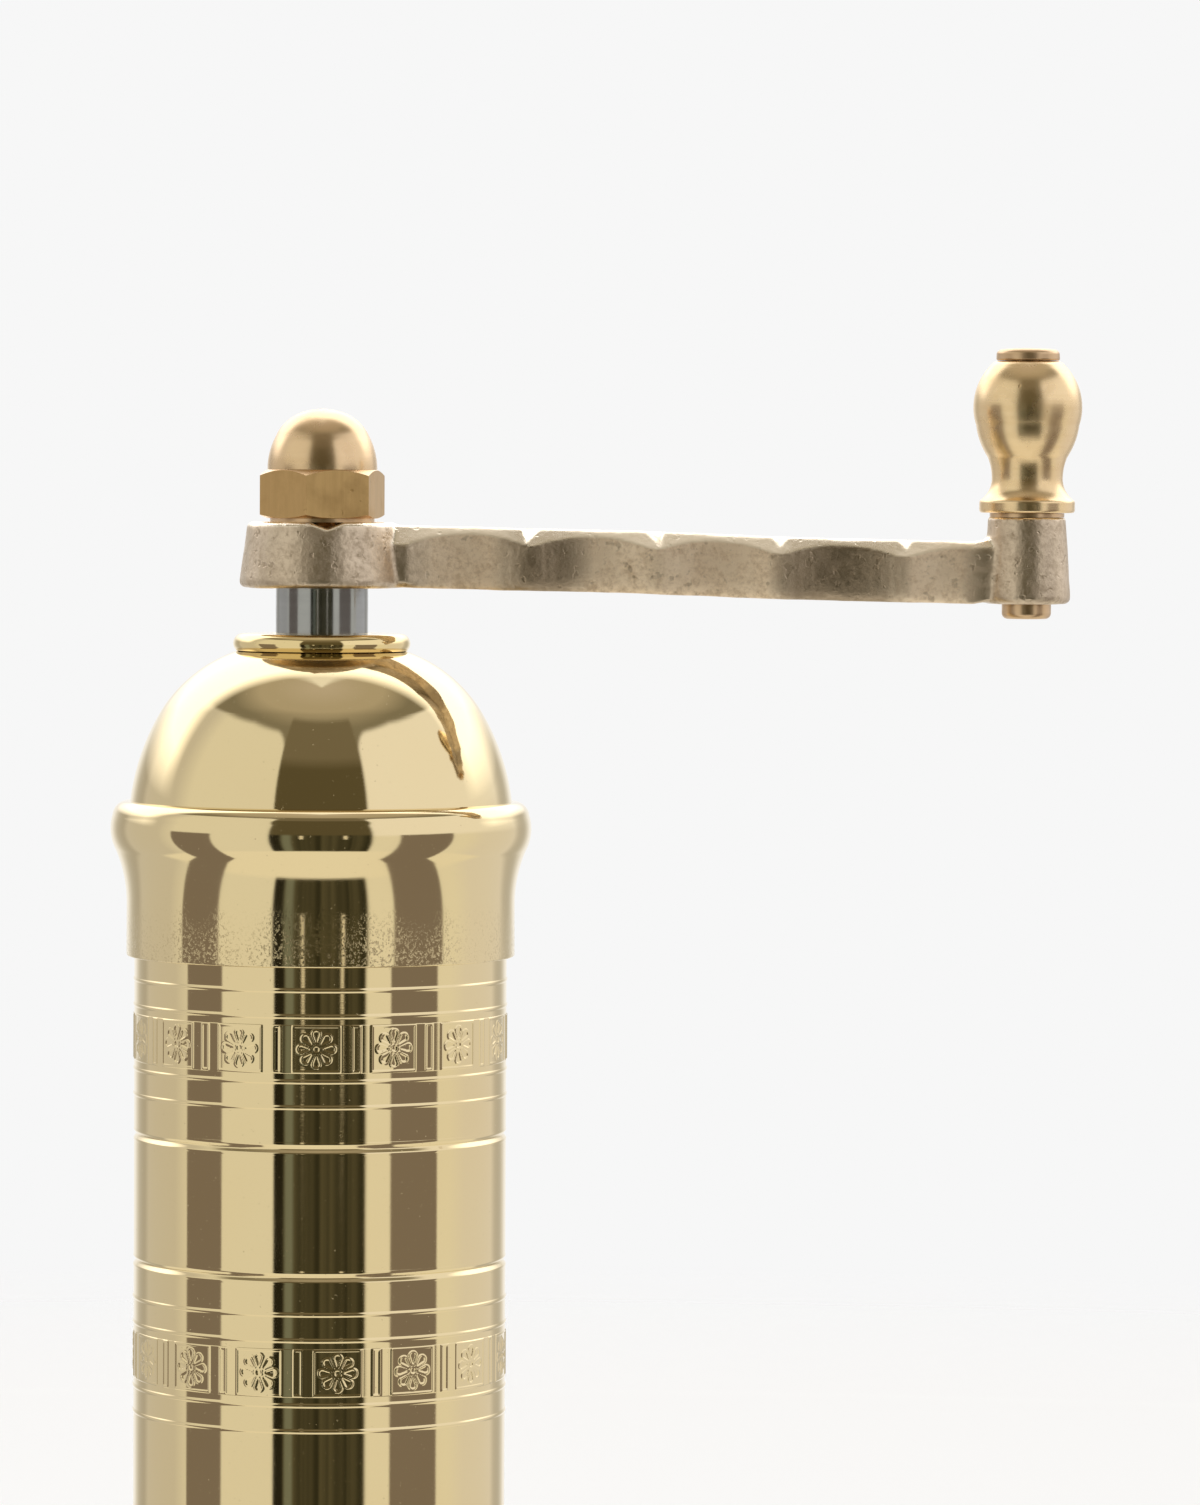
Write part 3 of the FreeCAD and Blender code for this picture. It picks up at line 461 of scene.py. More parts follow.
SHAFT_STEEL = WorkedMetal("ground_steel_shaft", (0.36, 0.36, 0.345), 0.05, shade=(0.27, 0.27, 0.26),
                          mark_depth=0.003 * MM)
PLAIN_STEEL = WorkedMetal("machined_steel", (0.50, 0.50, 0.51), 0.28, shade=(0.26, 0.26, 0.27))
BURR_STEEL = WorkedMetal("hardened_steel", (0.34, 0.34, 0.36), 0.34, Grain.UPRIGHT, shade=(0.16, 0.15, 0.15))
SPRING_STEEL = WorkedMetal("spring_wire_steel", (0.36, 0.36, 0.38), 0.30, shade=(0.18, 0.18, 0.18))


@dataclass(frozen=True)
class Bend:
    """One arc of an outline: its end, whose height counts from some level, and its own radius."""

    radius: float
    height: float
    curve: float
    side: Side = Side.RIGHT
    steps: int = 4


class Outline:
    """A turned outline drawn from point to point, each a radius and a height."""

    def __init__(self, radius: float, height: float) -> None:
        """Start the outline at a point."""
        self.support = 0.08 * MM
        self.points: list[Point] = [(radius, height)]

    def line(self, radius: float, height: float) -> "Outline":
        """Draw a straight line to a point, with points near both ends that keep its shading flat."""
        start = np.array(self.points[-1])
        run = np.array((radius, height)) - start
        length = np.linalg.norm(run)
        if length > 4 * self.support:
            self.points.append(tuple(start + run * self.support / length))
            self.points.append(tuple(start + run * (1 - self.support / length)))
        self.points.append((radius, height))
        return self

    def bend(self, level: float, *bends: Bend) -> "Outline":
        """Draw arcs whose heights count from a level."""
        for item in bends:
            self.arc(item.radius, level + item.height, item.curve, item.side, item.steps)
        return self

    def path(self, *points: Point) -> "Outline":
        """Draw straight lines from point to point."""
        for point in points:
            self.line(*point)
        return self

    def arc(self, radius: float, height: float, curve: float, side: Side = Side.RIGHT,
            steps: int = 14) -> "Outline":
        """Draw an arc to a point.

        Args:
            radius: The end's radius.
            height: The end's height.
            curve: The arc's own radius.
            side: Which way it bulges.
            steps: Straight pieces that it is cut into.

        Returns:
            The outline.
        """
        start = np.array(self.points[-1])
        end = np.array((radius, height))
        chord = end - start
        length = np.linalg.norm(chord)
        left = np.array((-chord[1], chord[0])) / length
        centre = (start + end) / 2 + left * side.value * math.sqrt(curve**2 - length**2 / 4)
        first = math.atan2(*(start - centre)[::-1])
        turn = 2 * math.asin(length / 2 / curve) * side.value
        for step in range(1, steps + 1):
            angle = first + turn * step / steps
            self.points.append((centre[0] + curve * math.cos(angle), centre[1] + curve * math.sin(angle)))
        return self


def new_piece(name: str, vertices: Sequence, faces: Sequence, crease: float = 40.0) -> bpy.types.Object:
    """Make a mesh object, smooth but for its sharp edges.

    Args:
        name: The piece's name.
        vertices: Its points in metres.
        faces: Its faces, as vertex numbers.
        crease: The angle in degrees over which an edge is sharp.

    Returns:
        The object.
    """
    mesh = bpy.data.meshes.new(name)
    mesh.from_pydata(vertices, [], faces)
    mesh.validate()
    mesh.shade_smooth()
    mesh.set_sharp_from_angle(angle=math.radians(crease))
    piece = bpy.data.objects.new(name, mesh)
    bpy.context.collection.objects.link(piece)
    return piece


def ring_grid(rows: np.ndarray, closed: bool) -> tuple[np.ndarray, list[tuple[int, ...]]]:
    """Turn rows of points round an axis into vertices and quads.

    Args:
        rows: An array of rows by columns by 3.
        closed: Whether the last row joins the first.

    Returns:
        The vertices and the faces.
    """
    count, columns = rows.shape[:2]
    spans = count if closed else count - 1
    faces = []
    for row in range(spans):
        below = row * columns
        above = (row + 1) % count * columns
        for column in range(columns):
            after = (column + 1) % columns
            faces.append((below + column, below + after, above + after, above + column))
    return rows.reshape(-1, 3), faces


def turned_piece(name: str, outline: Outline, segments: int = 192, centre: Point = (0.0, 0.0),
                 crease: float = 40.0) -> bpy.types.Object:
    """Turn a closed outline about an upright axis.

    Args:
        name: The piece's name.
        outline: Its outline, anticlockwise seen with the radius to the right.
        segments: Facets round the axis.
        centre: Where the axis stands.
        crease: The angle in degrees over which an edge is sharp.

    Returns:
        The object.
    """
    profile = np.array(outline.points)
    angles = np.arange(segments) * 2 * math.pi / segments
    rows = np.empty((len(profile), segments, 3))
    rows[:, :, 0] = centre[0] + profile[:, :1] * np.cos(angles)
    rows[:, :, 1] = centre[1] + profile[:, :1] * np.sin(angles)
    rows[:, :, 2] = profile[:, 1:]
    vertices, faces = ring_grid(rows, closed=True)
    piece = new_piece(name, vertices.tolist(), faces, crease)
    weld(piece)
    return piece


def weld(piece: bpy.types.Object) -> None:
    """Join the points that lie on one another, as at an apex."""
    mesh = bmesh.new()
    mesh.from_mesh(piece.data)
    bmesh.ops.remove_doubles(mesh, verts=mesh.verts, dist=1e-7)
    mesh.to_mesh(piece.data)
    mesh.free()


def settle(piece: bpy.types.Object, finish: Metal, node: str) -> bpy.types.Object:
    """Dress a piece and let it stand for a node.

    Args:
        piece: The new piece.
        finish: Its finish.
        node: The node that it replaces and moves with.

    Returns:
        The piece.
    """
    piece.data.materials.clear()
    piece.data.materials.append(finish.material())
    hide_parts(node)
    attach(piece, body_of(node))
    log.info("%s: %d faces for %s", piece.name, len(piece.data.polygons), node)
    return piece


def body_of(node: str) -> str:
    """Name of the body that a node belongs to."""
    bodies = frame["record"]["behaviour"]["bodies"]
    return next(body for body, members in bodies.items() if node in members)


def span(node: str) -> tuple[float, float]:
    """Lowest and highest level of a node at rest."""
    low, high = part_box(node)
    return low[2], high[2]


def axis_of(node: str) -> Point:
    """Where the upright axis of a turned node stands."""
    low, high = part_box(node)
    return (low[0] + high[0]) / 2, (low[1] + high[1]) / 2


@dataclass
class BandedTube:
    """A thin tube with turned beads, two deep grooves and two bands of rolled tiles."""

    node: str
    low_band: float
    high_band: float
    turns: tuple[float, float]
    radius: float = 25.0 * MM
    wall: float = 1.0 * MM
    bead_pitch: float = 3.4 * MM
    bead_width: float = 0.62 * MM
    bead_rise: float = 0.11 * MM
    tile_gap: float = 1.3 * MM
    tile_height: float = 5.95 * MM
    tile_width: float = 6.2 * MM
    line_rise: float = 0.09 * MM
    line_width: float = 0.36 * MM
    bar_width: float = 1.0 * MM
    petals: int = 8
    petal_sink: float = 0.03 * MM
    petal_start: float = 0.98 * MM
    petal_end: float = 1.95 * MM
    petal_radii: tuple[float, float] = (0.22 * MM, 0.56 * MM)
    eye_radius: float = 0.48 * MM
    groove_width: float = 1.05 * MM
    groove_depth: float = 0.30 * MM
    groove_shares: tuple[float, float] = (0.178, 0.2)
    groove_corner: float = 0.85
    groove_floor: float = 0.10 * MM
    lip_rise: float = 0.05 * MM
    lip_inner: float = 0.4
    lip_crest: float = 0.12 * MM
    lip_run: float = 0.35 * MM
    rim_chamfer: float = 0.15 * MM
    bead_steps: int = 8
    tiles: int = 15
    tile_columns: int = 84
    strip_rows: int = 54
    strip_margin: float = 0.35 * MM
    recess_depth: float = 0.70 * MM / 3
    recess_slope: float = 0.1 * MM
    shell_columns: int = 240

    def band_height(self) -> float:
        """Height of a band from its lowest bead to its highest."""
        return 2 * (self.bead_pitch + self.tile_gap) + self.tile_height

    def strip_centre(self, band: float) -> float:
        """Level of the middle of a band's tiles."""
        return band + self.bead_pitch + self.tile_gap + self.tile_height / 2

    def bead(self, outline: Outline, level: float) -> None:
        """Draw a raised bead on the outline, centred on a level."""
        for step in range(self.bead_steps + 1):
            share = step / self.bead_steps - 0.5
            rise = self.bead_rise * math.cos(math.pi * share)
            outline.line(self.radius + rise, level + share * self.bead_width)

    def groove(self, outline: Outline, level: float) -> None:
        """Draw a deep groove with rounded lips on the outline, centred on a level."""
        half = self.groove_width / 2
        section = (
            (self.radius, half + self.lip_run),
            (self.radius + self.lip_rise, half + self.lip_crest),
            (self.radius + self.lip_rise * self.lip_inner, half),
            (self.radius - self.groove_depth * self.groove_corner, self.groove_floor),
        )
        outline.path(*((radius, level - away) for radius, away in section))
        outline.line(self.radius - self.groove_depth, level)
        outline.path(*((radius, level + away) for radius, away in reversed(section)))

    def band(self, outline: Outline, level: float) -> None:
        """Draw a band's beads on the outline, and a recess that its strip of tiles covers."""
        middle = self.strip_centre(level)
        half = self.tile_height / 2 + self.strip_margin / 2
        self.bead(outline, level)
        self.bead(outline, level + self.bead_pitch)
        sunk = self.radius - self.recess_depth
        outline.path(
            (self.radius, middle - half),
            (sunk, middle - half + self.recess_slope),
            (sunk, middle + half - self.recess_slope),
            (self.radius, middle + half),
        )
        self.bead(outline, level + self.band_height() - self.bead_pitch)
        self.bead(outline, level + self.band_height())

    def shell_outline(self) -> Outline:
        """Outline of the whole wall, up the outside and down the inside."""
        bottom, top = span(self.node)
        plain = self.high_band - self.low_band - self.band_height()
        low_groove = self.low_band + self.band_height() + self.groove_shares[0] * plain
        high_groove = self.high_band - self.groove_shares[1] * plain
        edge = self.rim_chamfer
        inside = self.radius - self.wall
        outline = Outline(inside, bottom)
        outline.path((self.radius - edge, bottom), (self.radius, bottom + edge))
        self.band(outline, self.low_band)
        self.groove(outline, low_groove)
        self.groove(outline, high_groove)
        self.band(outline, self.high_band)
        outline.path((self.radius, top - edge), (self.radius - edge, top), (inside, top))
        return outline

    def relief(self, across: np.ndarray, up: np.ndarray) -> np.ndarray:
        """Height of the rolled pattern over the tube's wall.

        Args:
            across: Distance round the tube from the nearest tile's middle.
            up: Distance above the tile's middle.

        Returns:
            The height at each place.
        """
        pitch = 2 * math.pi * self.radius / self.tiles
        tile = np.minimum(self.tile_width / 2 - np.abs(across), self.tile_height / 2 - np.abs(up))
        bar_across = pitch / 2 - np.abs(across)
        bar = np.minimum(self.bar_width / 2 - bar_across, self.tile_height / 2 - np.abs(up))
        flower = self.eye_radius - np.hypot(across, up)
        for petal in range(self.petals):
            angle = 2 * math.pi * petal / self.petals
            along = across * math.cos(angle) + up * math.sin(angle)
            beside = -across * math.sin(angle) + up * math.cos(angle)
            share = np.clip((along - self.petal_start) / (self.petal_end - self.petal_start), 0, 1)
            nearest = self.petal_start + share * (self.petal_end - self.petal_start)
            reach = self.petal_radii[0] + share * (self.petal_radii[1] - self.petal_radii[0])
            flower = np.maximum(flower, reach - np.hypot(along - nearest, beside))
        sink = self.petal_sink * np.clip(flower / self.line_width, 0, 1)
        return sum(self.ridge(shape) for shape in (tile, bar, flower)) - sink

    def ridge(self, inside: np.ndarray) -> np.ndarray:
        """A thin rounded ridge along a shape's outline.

        Args:
            inside: Distance into the shape, negative outside it.

        Returns:
            The ridge's height at each place.
        """
        share = np.clip(np.abs(inside) / (self.line_width / 2), 0, 1)
        return self.line_rise * (1 - share * share) ** 2

    def strip(self, band: float, turn: float) -> tuple[np.ndarray, list[tuple[int, ...]]]:
        """Mesh of one band of tiles.

        Args:
            band: Level of the band's lowest bead.
            turn: Turn of the front tile's middle towards +X, in degrees.

        Returns:
            The strip's vertices and faces.
        """
        columns = self.tiles * self.tile_columns
        pitch = 2 * math.pi * self.radius / self.tiles
        half = self.tile_height / 2 + self.strip_margin
        up = np.linspace(-half, half, self.strip_rows)[:, None]
        steps = np.arange(columns)[None, :]
        across = (steps / self.tile_columns % 1 * pitch + pitch / 2) % pitch - pitch / 2
        angles = steps * 2 * math.pi / columns + math.radians(turn - 90)
        radii = self.radius + self.relief(across + 0 * up, up + 0 * across)
        radii[0] -= self.strip_margin / 2
        radii[-1] -= self.strip_margin / 2
        rows = np.empty(radii.shape + (3,))
        rows[:, :, 0] = radii * np.cos(angles)
        rows[:, :, 1] = radii * np.sin(angles)
        rows[:, :, 2] = self.strip_centre(band) + up
        return ring_grid(rows, closed=False)

    def build(self) -> None:
        """Build the wall and its two rolled bands, and let them stand for the node."""
        shell = turned_piece(f"{self.node}_shell", self.shell_outline(), self.shell_columns)
        settle(shell, SHELL_BRASS, self.node)
        bands = zip(("low", "high"), (self.low_band, self.high_band), self.turns)
        for name, band, turn in bands:
            vertices, faces = self.strip(band, turn)
            strip = new_piece(f"{self.node}_{name}_band", vertices.tolist(), faces, crease=60.0)
            settle(strip, SHELL_BRASS, self.node)


@dataclass
class FlaredRing:
    """Shape that the lid's collar and the cup's foot share."""

    waist: float = 26.05 * MM
    flare_height: float = 7.3 * MM
    flare_growth: float = 1.45 * MM
    flare_curve: float = 18.5 * MM
    bulge_height: float = 6.2 * MM
    bulge_curve: float = 6.3 * MM
    bulge_growth: float = 0.45 * MM
    shoulder_height: float = 0.4 * MM
    shoulder_drop: float = 1.75 * MM
    shoulder_curve: float = 2.0 * MM
    shoulder_width: float = 1.95 * MM
    edge: float = 0.2 * MM

    def upward(self, inside: float, bottom: float, height: float) -> Outline:
        """Outer side that widens upwards, as the collar's does.

        Args:
            inside: Radius at the lower edge's inner corner.
            bottom: Level of the lower edge.
            height: Height of the whole ring.

        Returns:
            The outline up to the shoulder.
        """
        straight = height - self.flare_height - self.bulge_height - self.shoulder_height
        flare = bottom + straight + self.flare_height
        bulge = flare + self.bulge_height
        wide = self.waist + self.flare_growth
        outline = Outline(inside, bottom)
        outline.line(self.waist - self.edge, bottom)
        outline.arc(self.waist, bottom + self.edge, self.edge, steps=3)
        outline.path((self.waist, bottom + straight / 2), (self.waist, bottom + straight))
        outline.arc(wide, flare, self.flare_curve, Side.LEFT, 18)
        top = bulge + self.shoulder_height
        outline.arc(wide + self.bulge_growth, top - self.shoulder_drop, self.bulge_curve, Side.RIGHT, 22)
        outline.arc(wide + self.bulge_growth - self.shoulder_width, top, self.shoulder_curve, Side.RIGHT, 14)
        return outline


@dataclass
class Lid:
    """The collar, the spun dome, and the flanged disc that the shaft runs in."""

    ring: FlaredRing = field(default_factory=FlaredRing)
    tube_bore: float = 24.0 * MM
    skirt_bore: float = 25.05 * MM
    knee: Point = (21.1 * MM, 12.7 * MM)
    base_radius: float = 25.6 * MM
    side_curve: float = 30.5 * MM
    shoulder_curve: float = 19.2 * MM
    crown_radius: float = 11.2 * MM
    wall: float = 1.0 * MM
    disc_radius: float = 11.5 * MM
    disc_top_radius: float = 10.6 * MM
    disc_curve: float = 1.35 * MM
    disc_bore: float = 6.35 * MM
    disc_spigot: float = 9.0 * MM
    bore_lip: float = 0.9 * MM
    bore_lip_drop: float = 0.35 * MM
    bore_lip_curve: float = 1.0 * MM
    seam_rise: float = 0.05 * MM
    crown_inset: float = 0.3
    knee_inset: tuple[float, float] = (0.84, 0.54)

    def collar(self) -> bpy.types.Object:
        """Build the collar."""
        bottom, top = span("lid_collar")
        rim = span("upper_tube")[1]
        outline = self.ring.upward(self.skirt_bore, bottom, top - bottom)
        outline.path(
            (self.base_radius, top + self.seam_rise),
            (self.tube_bore, top),
            (self.tube_bore, rim),
            (self.skirt_bore, rim),
        )
        piece = turned_piece("lid_collar_spun", outline, 256)
        return settle(piece, COLLAR_BRASS, "lid_collar")

    def dome(self) -> bpy.types.Object:
        """Build the dome's shell."""
        bottom, top = span("lid_dome")
        knee = bottom + self.knee[1]
        inside = self.base_radius - self.wall
        outline = Outline(inside, bottom)
        outline.line(self.base_radius, bottom)
        outline.arc(self.knee[0], knee, self.side_curve, steps=28)
        outline.arc(self.crown_radius, top, self.shoulder_curve, steps=24)
        outline.path(
            (self.disc_spigot, top),
            (self.disc_spigot, top - self.wall),
            (self.crown_radius - self.crown_inset * self.wall, top - self.wall),
        )
        across, down = self.knee_inset
        outline.arc(self.knee[0] - across * self.wall, knee - down * self.wall,
                    self.shoulder_curve - self.wall, Side.LEFT, 16)
        outline.arc(inside, bottom, self.side_curve - self.wall, Side.LEFT, 16)
        piece = turned_piece("lid_dome_spun", outline, 256)
        return settle(piece, DOME_BRASS, "lid_dome")

    def disc(self) -> bpy.types.Object:
        """Build the flanged disc."""
        bottom, top = span("lid_disc")
        seat = span("lid_dome")[1]
        outline = Outline(self.disc_bore, bottom)
        outline.path((self.disc_spigot, bottom), (self.disc_spigot, seat), (self.disc_radius, seat))
        outline.arc(self.disc_top_radius, top, self.disc_curve, steps=12)
        outline.line(self.disc_bore + self.bore_lip, top)
        outline.arc(self.disc_bore, top - self.bore_lip_drop, self.bore_lip_curve, steps=4)
        piece = turned_piece("lid_disc_turned", outline, 192)
        return settle(piece, DISC_BRASS, "lid_disc")

    def build(self) -> None:
        """Build the lid's visible pieces."""
        self.collar()
        self.dome()
        self.disc()


@dataclass
class Foot:
    """The flared foot of the cup."""

    ring: FlaredRing = field(default_factory=FlaredRing)
    tube_radius: float = 25.0 * MM

    def build(self) -> bpy.types.Object:
        """Build the foot ring, the collar's shape turned upside down."""
        bottom, top = span("foot_ring")
        upright = self.ring.upward(self.tube_radius, 0.0, top - bottom)
        mirrored = [(radius, top - height) for radius, height in reversed(upright.points)]
        outline = Outline(self.tube_radius, bottom)
        outline.points += mirrored[:-1] + [(self.tube_radius, top)]
        piece = turned_piece("foot_ring_spun", outline, 256)
        return settle(piece, FOOT_BRASS, "foot_ring")


@dataclass
class Crank:
    """The cast arm, the cap nut, and the knob on its pin."""

    knob_bore: float = 3.1 * MM
    knob_rim: float = 6.4 * MM
    rim_round: float = 0.3 * MM
    rim_height: float = 1.35 * MM
    knob_edge: Bend = Bend(6.4 * MM, 0.35 * MM, 0.4 * MM)
    knob_sides: tuple[Bend, ...] = (
        Bend(6.15 * MM, 1.75 * MM, 0.5 * MM),
        Bend(4.75 * MM, 4.7 * MM, 3.6 * MM, Side.LEFT, 12),
        Bend(5.3 * MM, 7.4 * MM, 7.3 * MM, Side.LEFT, 12),
        Bend(6.9 * MM, 11.7 * MM, 10.1 * MM, steps=14),
    )
    knob_head: tuple[Bend, ...] = (
        Bend(5.0 * MM, -0.6 * MM, 7.9 * MM, steps=20),
        Bend(4.1 * MM, 0.0, 1.6 * MM),
    )
    pin_end_radius: float = 2.6 * MM
    pin_radius: float = 3.3 * MM
    pin_edge: Bend = Bend(3.3 * MM, 0.7 * MM, 0.8 * MM, steps=5)
    stem_radius: float = 3.0 * MM
    head_gap: float = 0.1 * MM
    head_foot: float = 4.1 * MM
    rivet_edge: Bend = Bend(4.25 * MM, 0.2 * MM, 0.25 * MM, steps=3)
    rivet_upper: float = 4.22 * MM
    rivet_side: float = 0.9 * MM
    rivet_crown: tuple[Bend, ...] = (
        Bend(3.5 * MM, -0.12 * MM, 0.8 * MM, steps=6),
        Bend(0.0, 0.0, 20 * MM, steps=6),
    )
    voxel: float = 0.32 * MM
    smoothing: int = 7
    nut_flats: float = 15.0 * MM
    nut_turn: float = 17.6
    chamfer_drop: float = 0.8 * MM
    crown_drop: float = 0.45 * MM
    foot_chamfer: float = 0.6
    face_share: float = 0.985
    seat_share: float = 0.94
    columns_per_side: int = 16
    steepness: float = 0.8
    hex_height: float = 6.5 * MM
    nut_bore: float = 4.1 * MM
    nut_bore_depth: float = 10.8 * MM
    dome_radius: float = 7.35 * MM
    dome_seam: float = 0.02 * MM
    dome_side: Bend = Bend(6.25 * MM, 4.5 * MM, 9.4 * MM, steps=12)
    dome_crown: tuple[Bend, ...] = (
        Bend(2.7 * MM, -0.45 * MM, 6.0 * MM, steps=12),
        Bend(0.0, 0.0, 9.5 * MM, steps=5),
    )
    dip_depth: float = 0.85 * MM
    dip_width: float = 2.2 * MM
    lump_depth: float = 0.10 * MM
    lumps: tuple[tuple[float, float], ...] = ((210.0, 0.6), (520.0, 0.3))
    sag_start: float = 42.0 * MM
    sag_run: float = 20.0 * MM
    sag_end: float = 89.0 * MM
    sag_stop: float = 2.0 * MM
    sag: float = 0.33 * MM
    arm_step: float = 0.3 * MM
    arm_half_width: float = 4.75 * MM
    notch_depth: float = 2.4 * MM
    notch_run: float = 4.2 * MM
    notches: tuple[tuple[float, float, float], ...] = (
        (27.3 * MM, 1.3 * MM, 5.5 * MM),
        (45.3 * MM, 6.0 * MM, 1.3 * MM),
        (61.3 * MM, 5.2 * MM, 5.2 * MM),
        (78.2 * MM, 5.0 * MM, 3.6 * MM),
    )
    notch_height: float = 2.7 * MM
    droop: float = 0.018
    wear: int = 120
    worn_from: float = 17.0 * MM
    worn_to: float = 86.0 * MM
    worn_depth: float = 2.0 * MM
    notch_curve: float = 1.2
    hub_front: float = 6.5 * MM
    dip_reach: float = 6.0 * MM
    dip_height: float = 2.5 * MM
    dip_middle: float = 1.0 * MM

    def arm(self) -> bpy.types.Object:
        """Build the arm: the node's shape with cast roundness, lumps and the dip in the hub's rim."""
        source = frame["nodes"]["crank_arm"]
        raw = bpy.data.objects.new("arm_raw", source.data.copy())
        bpy.context.collection.objects.link(raw)
        remesh = raw.modifiers.new("remesh", "REMESH")
        remesh.mode = "VOXEL"
        remesh.voxel_size = self.voxel
        smooth = raw.modifiers.new("smooth", "SMOOTH")
        smooth.iterations = self.smoothing
        smooth.factor = 0.5
        bpy.context.view_layer.update()
        shaped = raw.evaluated_get(bpy.context.evaluated_depsgraph_get())
        mesh = bpy.data.meshes.new_from_object(shaped)
        mesh.name = "crank_arm_cast"
        bpy.data.objects.remove(raw)
        hub_top = span("crank_washer")[0]
        self.soften_front(mesh, hub_top)
        places = [vertex.co.copy() for vertex in mesh.vertices]
        normals = [item.vector.copy() for item in mesh.vertex_normals]
        moved = [self.cast(place, normal, hub_top) for place, normal in zip(places, normals)]
        mesh.vertices.foreach_set("co", np.array(moved).ravel())
        mesh.shade_smooth()
        piece = bpy.data.objects.new("crank_arm_cast", mesh)
        bpy.context.collection.objects.link(piece)
        return settle(piece, ARM_BRASS, "crank_arm")

    def soften_front(self, mesh: bpy.types.Mesh, hub_top: float) -> None:
        """Wear away the ridges between the arm's hollows, below their notches in the upper edge.

        Args:
            mesh: The arm's mesh.
            hub_top: Level of the hub's top.
        """
        shape = bmesh.new()
        shape.from_mesh(mesh)
        wear_and_sheen = [point for point in shape.verts
                if abs(point.co.y) > self.worn_depth and self.worn_from < point.co.x < self.worn_to
                and point.co.z < hub_top - self.notch_height - point.co.x * self.droop]
        for _ in range(self.wear):
            bmesh.ops.smooth_vert(shape, verts=wear_and_sheen, factor=0.5, use_axis_x=False, use_axis_y=True,
                                  use_axis_z=False)
        shape.to_mesh(mesh)
        shape.free()

    def cast(self, place: Vector, normal: Vector, hub_top: float) -> Vector:
        """Where a point of the arm lies after casting.

        Args:
            place: The point on the ideal arm.
            normal: The surface's normal there.
            hub_top: Level of the hub's top.

        Returns:
            The point with its lumps, the arm's sag and notches, and the dip in the hub's rim.
        """
        lump = sum(noise.noise(place * scale) * share for scale, share in self.lumps)
        moved = place + normal * lump * self.lump_depth
        start = max(0.0, (place.x - self.sag_start) / self.sag_run)
        stop = max(0.0, (self.sag_end - place.x) / self.sag_stop)
        moved.z -= self.sag * min(1.0, start, stop)
        return self.dipped(place, self.notched(moved, hub_top), hub_top)

    def notched(self, place: Vector, hub_top: float) -> Vector:
        """Cut the notches where two hollows meet at an upper edge of the arm.

        Args:
            place: The point.
            hub_top: Level of the hub's top.

        Returns:
            The point, lowered to the notch's slope where it lay over it.
        """
        top = hub_top - self.arm_step - self.droop * place.x
        inward = max(0.0, self.arm_half_width - abs(place.y))
        for middle, left, right in self.notches:
            across = place.x - middle
            width = right if across > 0 else left
            share = max(0.0, 1 - abs(across) / width)
            if share > 0:
                slope = top - self.notch_depth * (share**self.notch_curve - inward / self.notch_run)
                place.z = min(place.z, slope)
        return place

    def dipped(self, place: Vector, moved: Vector, hub_top: float) -> Vector:
        """Press the dip into the front of the hub's rim.

        Args:
            place: The point before casting.
            moved: The point after casting.
            hub_top: Level of the hub's top.

        Returns:
            The point with the dip.
        """
        foot = hub_top - self.dip_height
        if place.y < -self.hub_front and place.z > foot and abs(place.x) < self.dip_reach:
            share = max(0.0, 1 - abs(place.x - self.dip_middle) / self.dip_width)
            moved.z -= self.dip_depth * share * min(1.0, (place.z - foot) / self.dip_height)
        return moved

    def nut(self) -> bpy.types.Object:
        """Build the cap nut: a hexagon with round chamfers under a bullet-shaped dome."""
        bottom, top = span("cap_nut")
        top -= self.crown_drop
        hex_top = bottom + self.hex_height
        bore_top = bottom + self.nut_bore_depth
        columns = 6 * self.columns_per_side
        angles = [2 * math.pi * step / columns for step in range(columns)]
        flat = self.nut_flats / 2
        corner = flat / math.cos(math.pi / 6)
        face = flat * self.face_share
        reach = [flat / math.cos((angle + math.pi / 6) % (math.pi / 3) - math.pi / 6) for angle in angles]
        ends = []
        for level, drop in ((bottom, self.foot_chamfer * self.chamfer_drop), (hex_top, -self.chamfer_drop)):
            edge = [(radius, level + drop * (radius - face) / (corner - face)) for radius in reach]
            ends.append([[(flat * self.seat_share, level)] * columns, [(face, level)] * columns, edge])
        rows = [[(self.nut_bore, bore_top)] * columns, [(self.nut_bore, bottom)] * columns]
        rows += ends[0] + ends[1][::-1]
        dome = Outline(self.dome_radius, hex_top + self.dome_seam)
        dome.bend(hex_top, self.dome_side)
        dome.bend(top, *self.dome_crown)
        rows += [[point] * columns for point in dome.points]
        rows += [[(0.0, bore_top)] * columns]
        turn = math.radians(self.nut_turn - 30)
        grid = [[(r * math.cos(a + turn), r * math.sin(a + turn), z) for (r, z), a in zip(row, angles)]
                for row in rows]
        vertices, faces = ring_grid(np.array(grid), closed=True)
        piece = new_piece("cap_nut_turned", vertices.tolist(), faces, crease=25.0)
        weld(piece)
        settle(piece, NUT_DOME, "cap_nut")
        piece.data.materials.append(NUT_HEX.material())
        for facet in piece.data.polygons:
            if facet.center.z < hex_top - self.dome_seam and abs(facet.normal.z) < self.steepness:
                facet.material_index = 1
        return piece

    def knob(self) -> bpy.types.Object:
        """Build the turned knob."""
        bottom, top = span("knob")
        rim = self.knob_rim
        outline = Outline(self.knob_bore, bottom)
        outline.line(rim - self.rim_round, bottom)
        outline.bend(bottom, self.knob_edge)
        outline.line(rim, bottom + self.rim_height)
        outline.bend(bottom, *self.knob_sides)
        outline.bend(top, *self.knob_head)
        outline.line(self.knob_bore, top)
        piece = turned_piece("knob_turned", outline, 160, axis_of("knob"))
        return settle(piece, KNOB_BRASS, "knob")

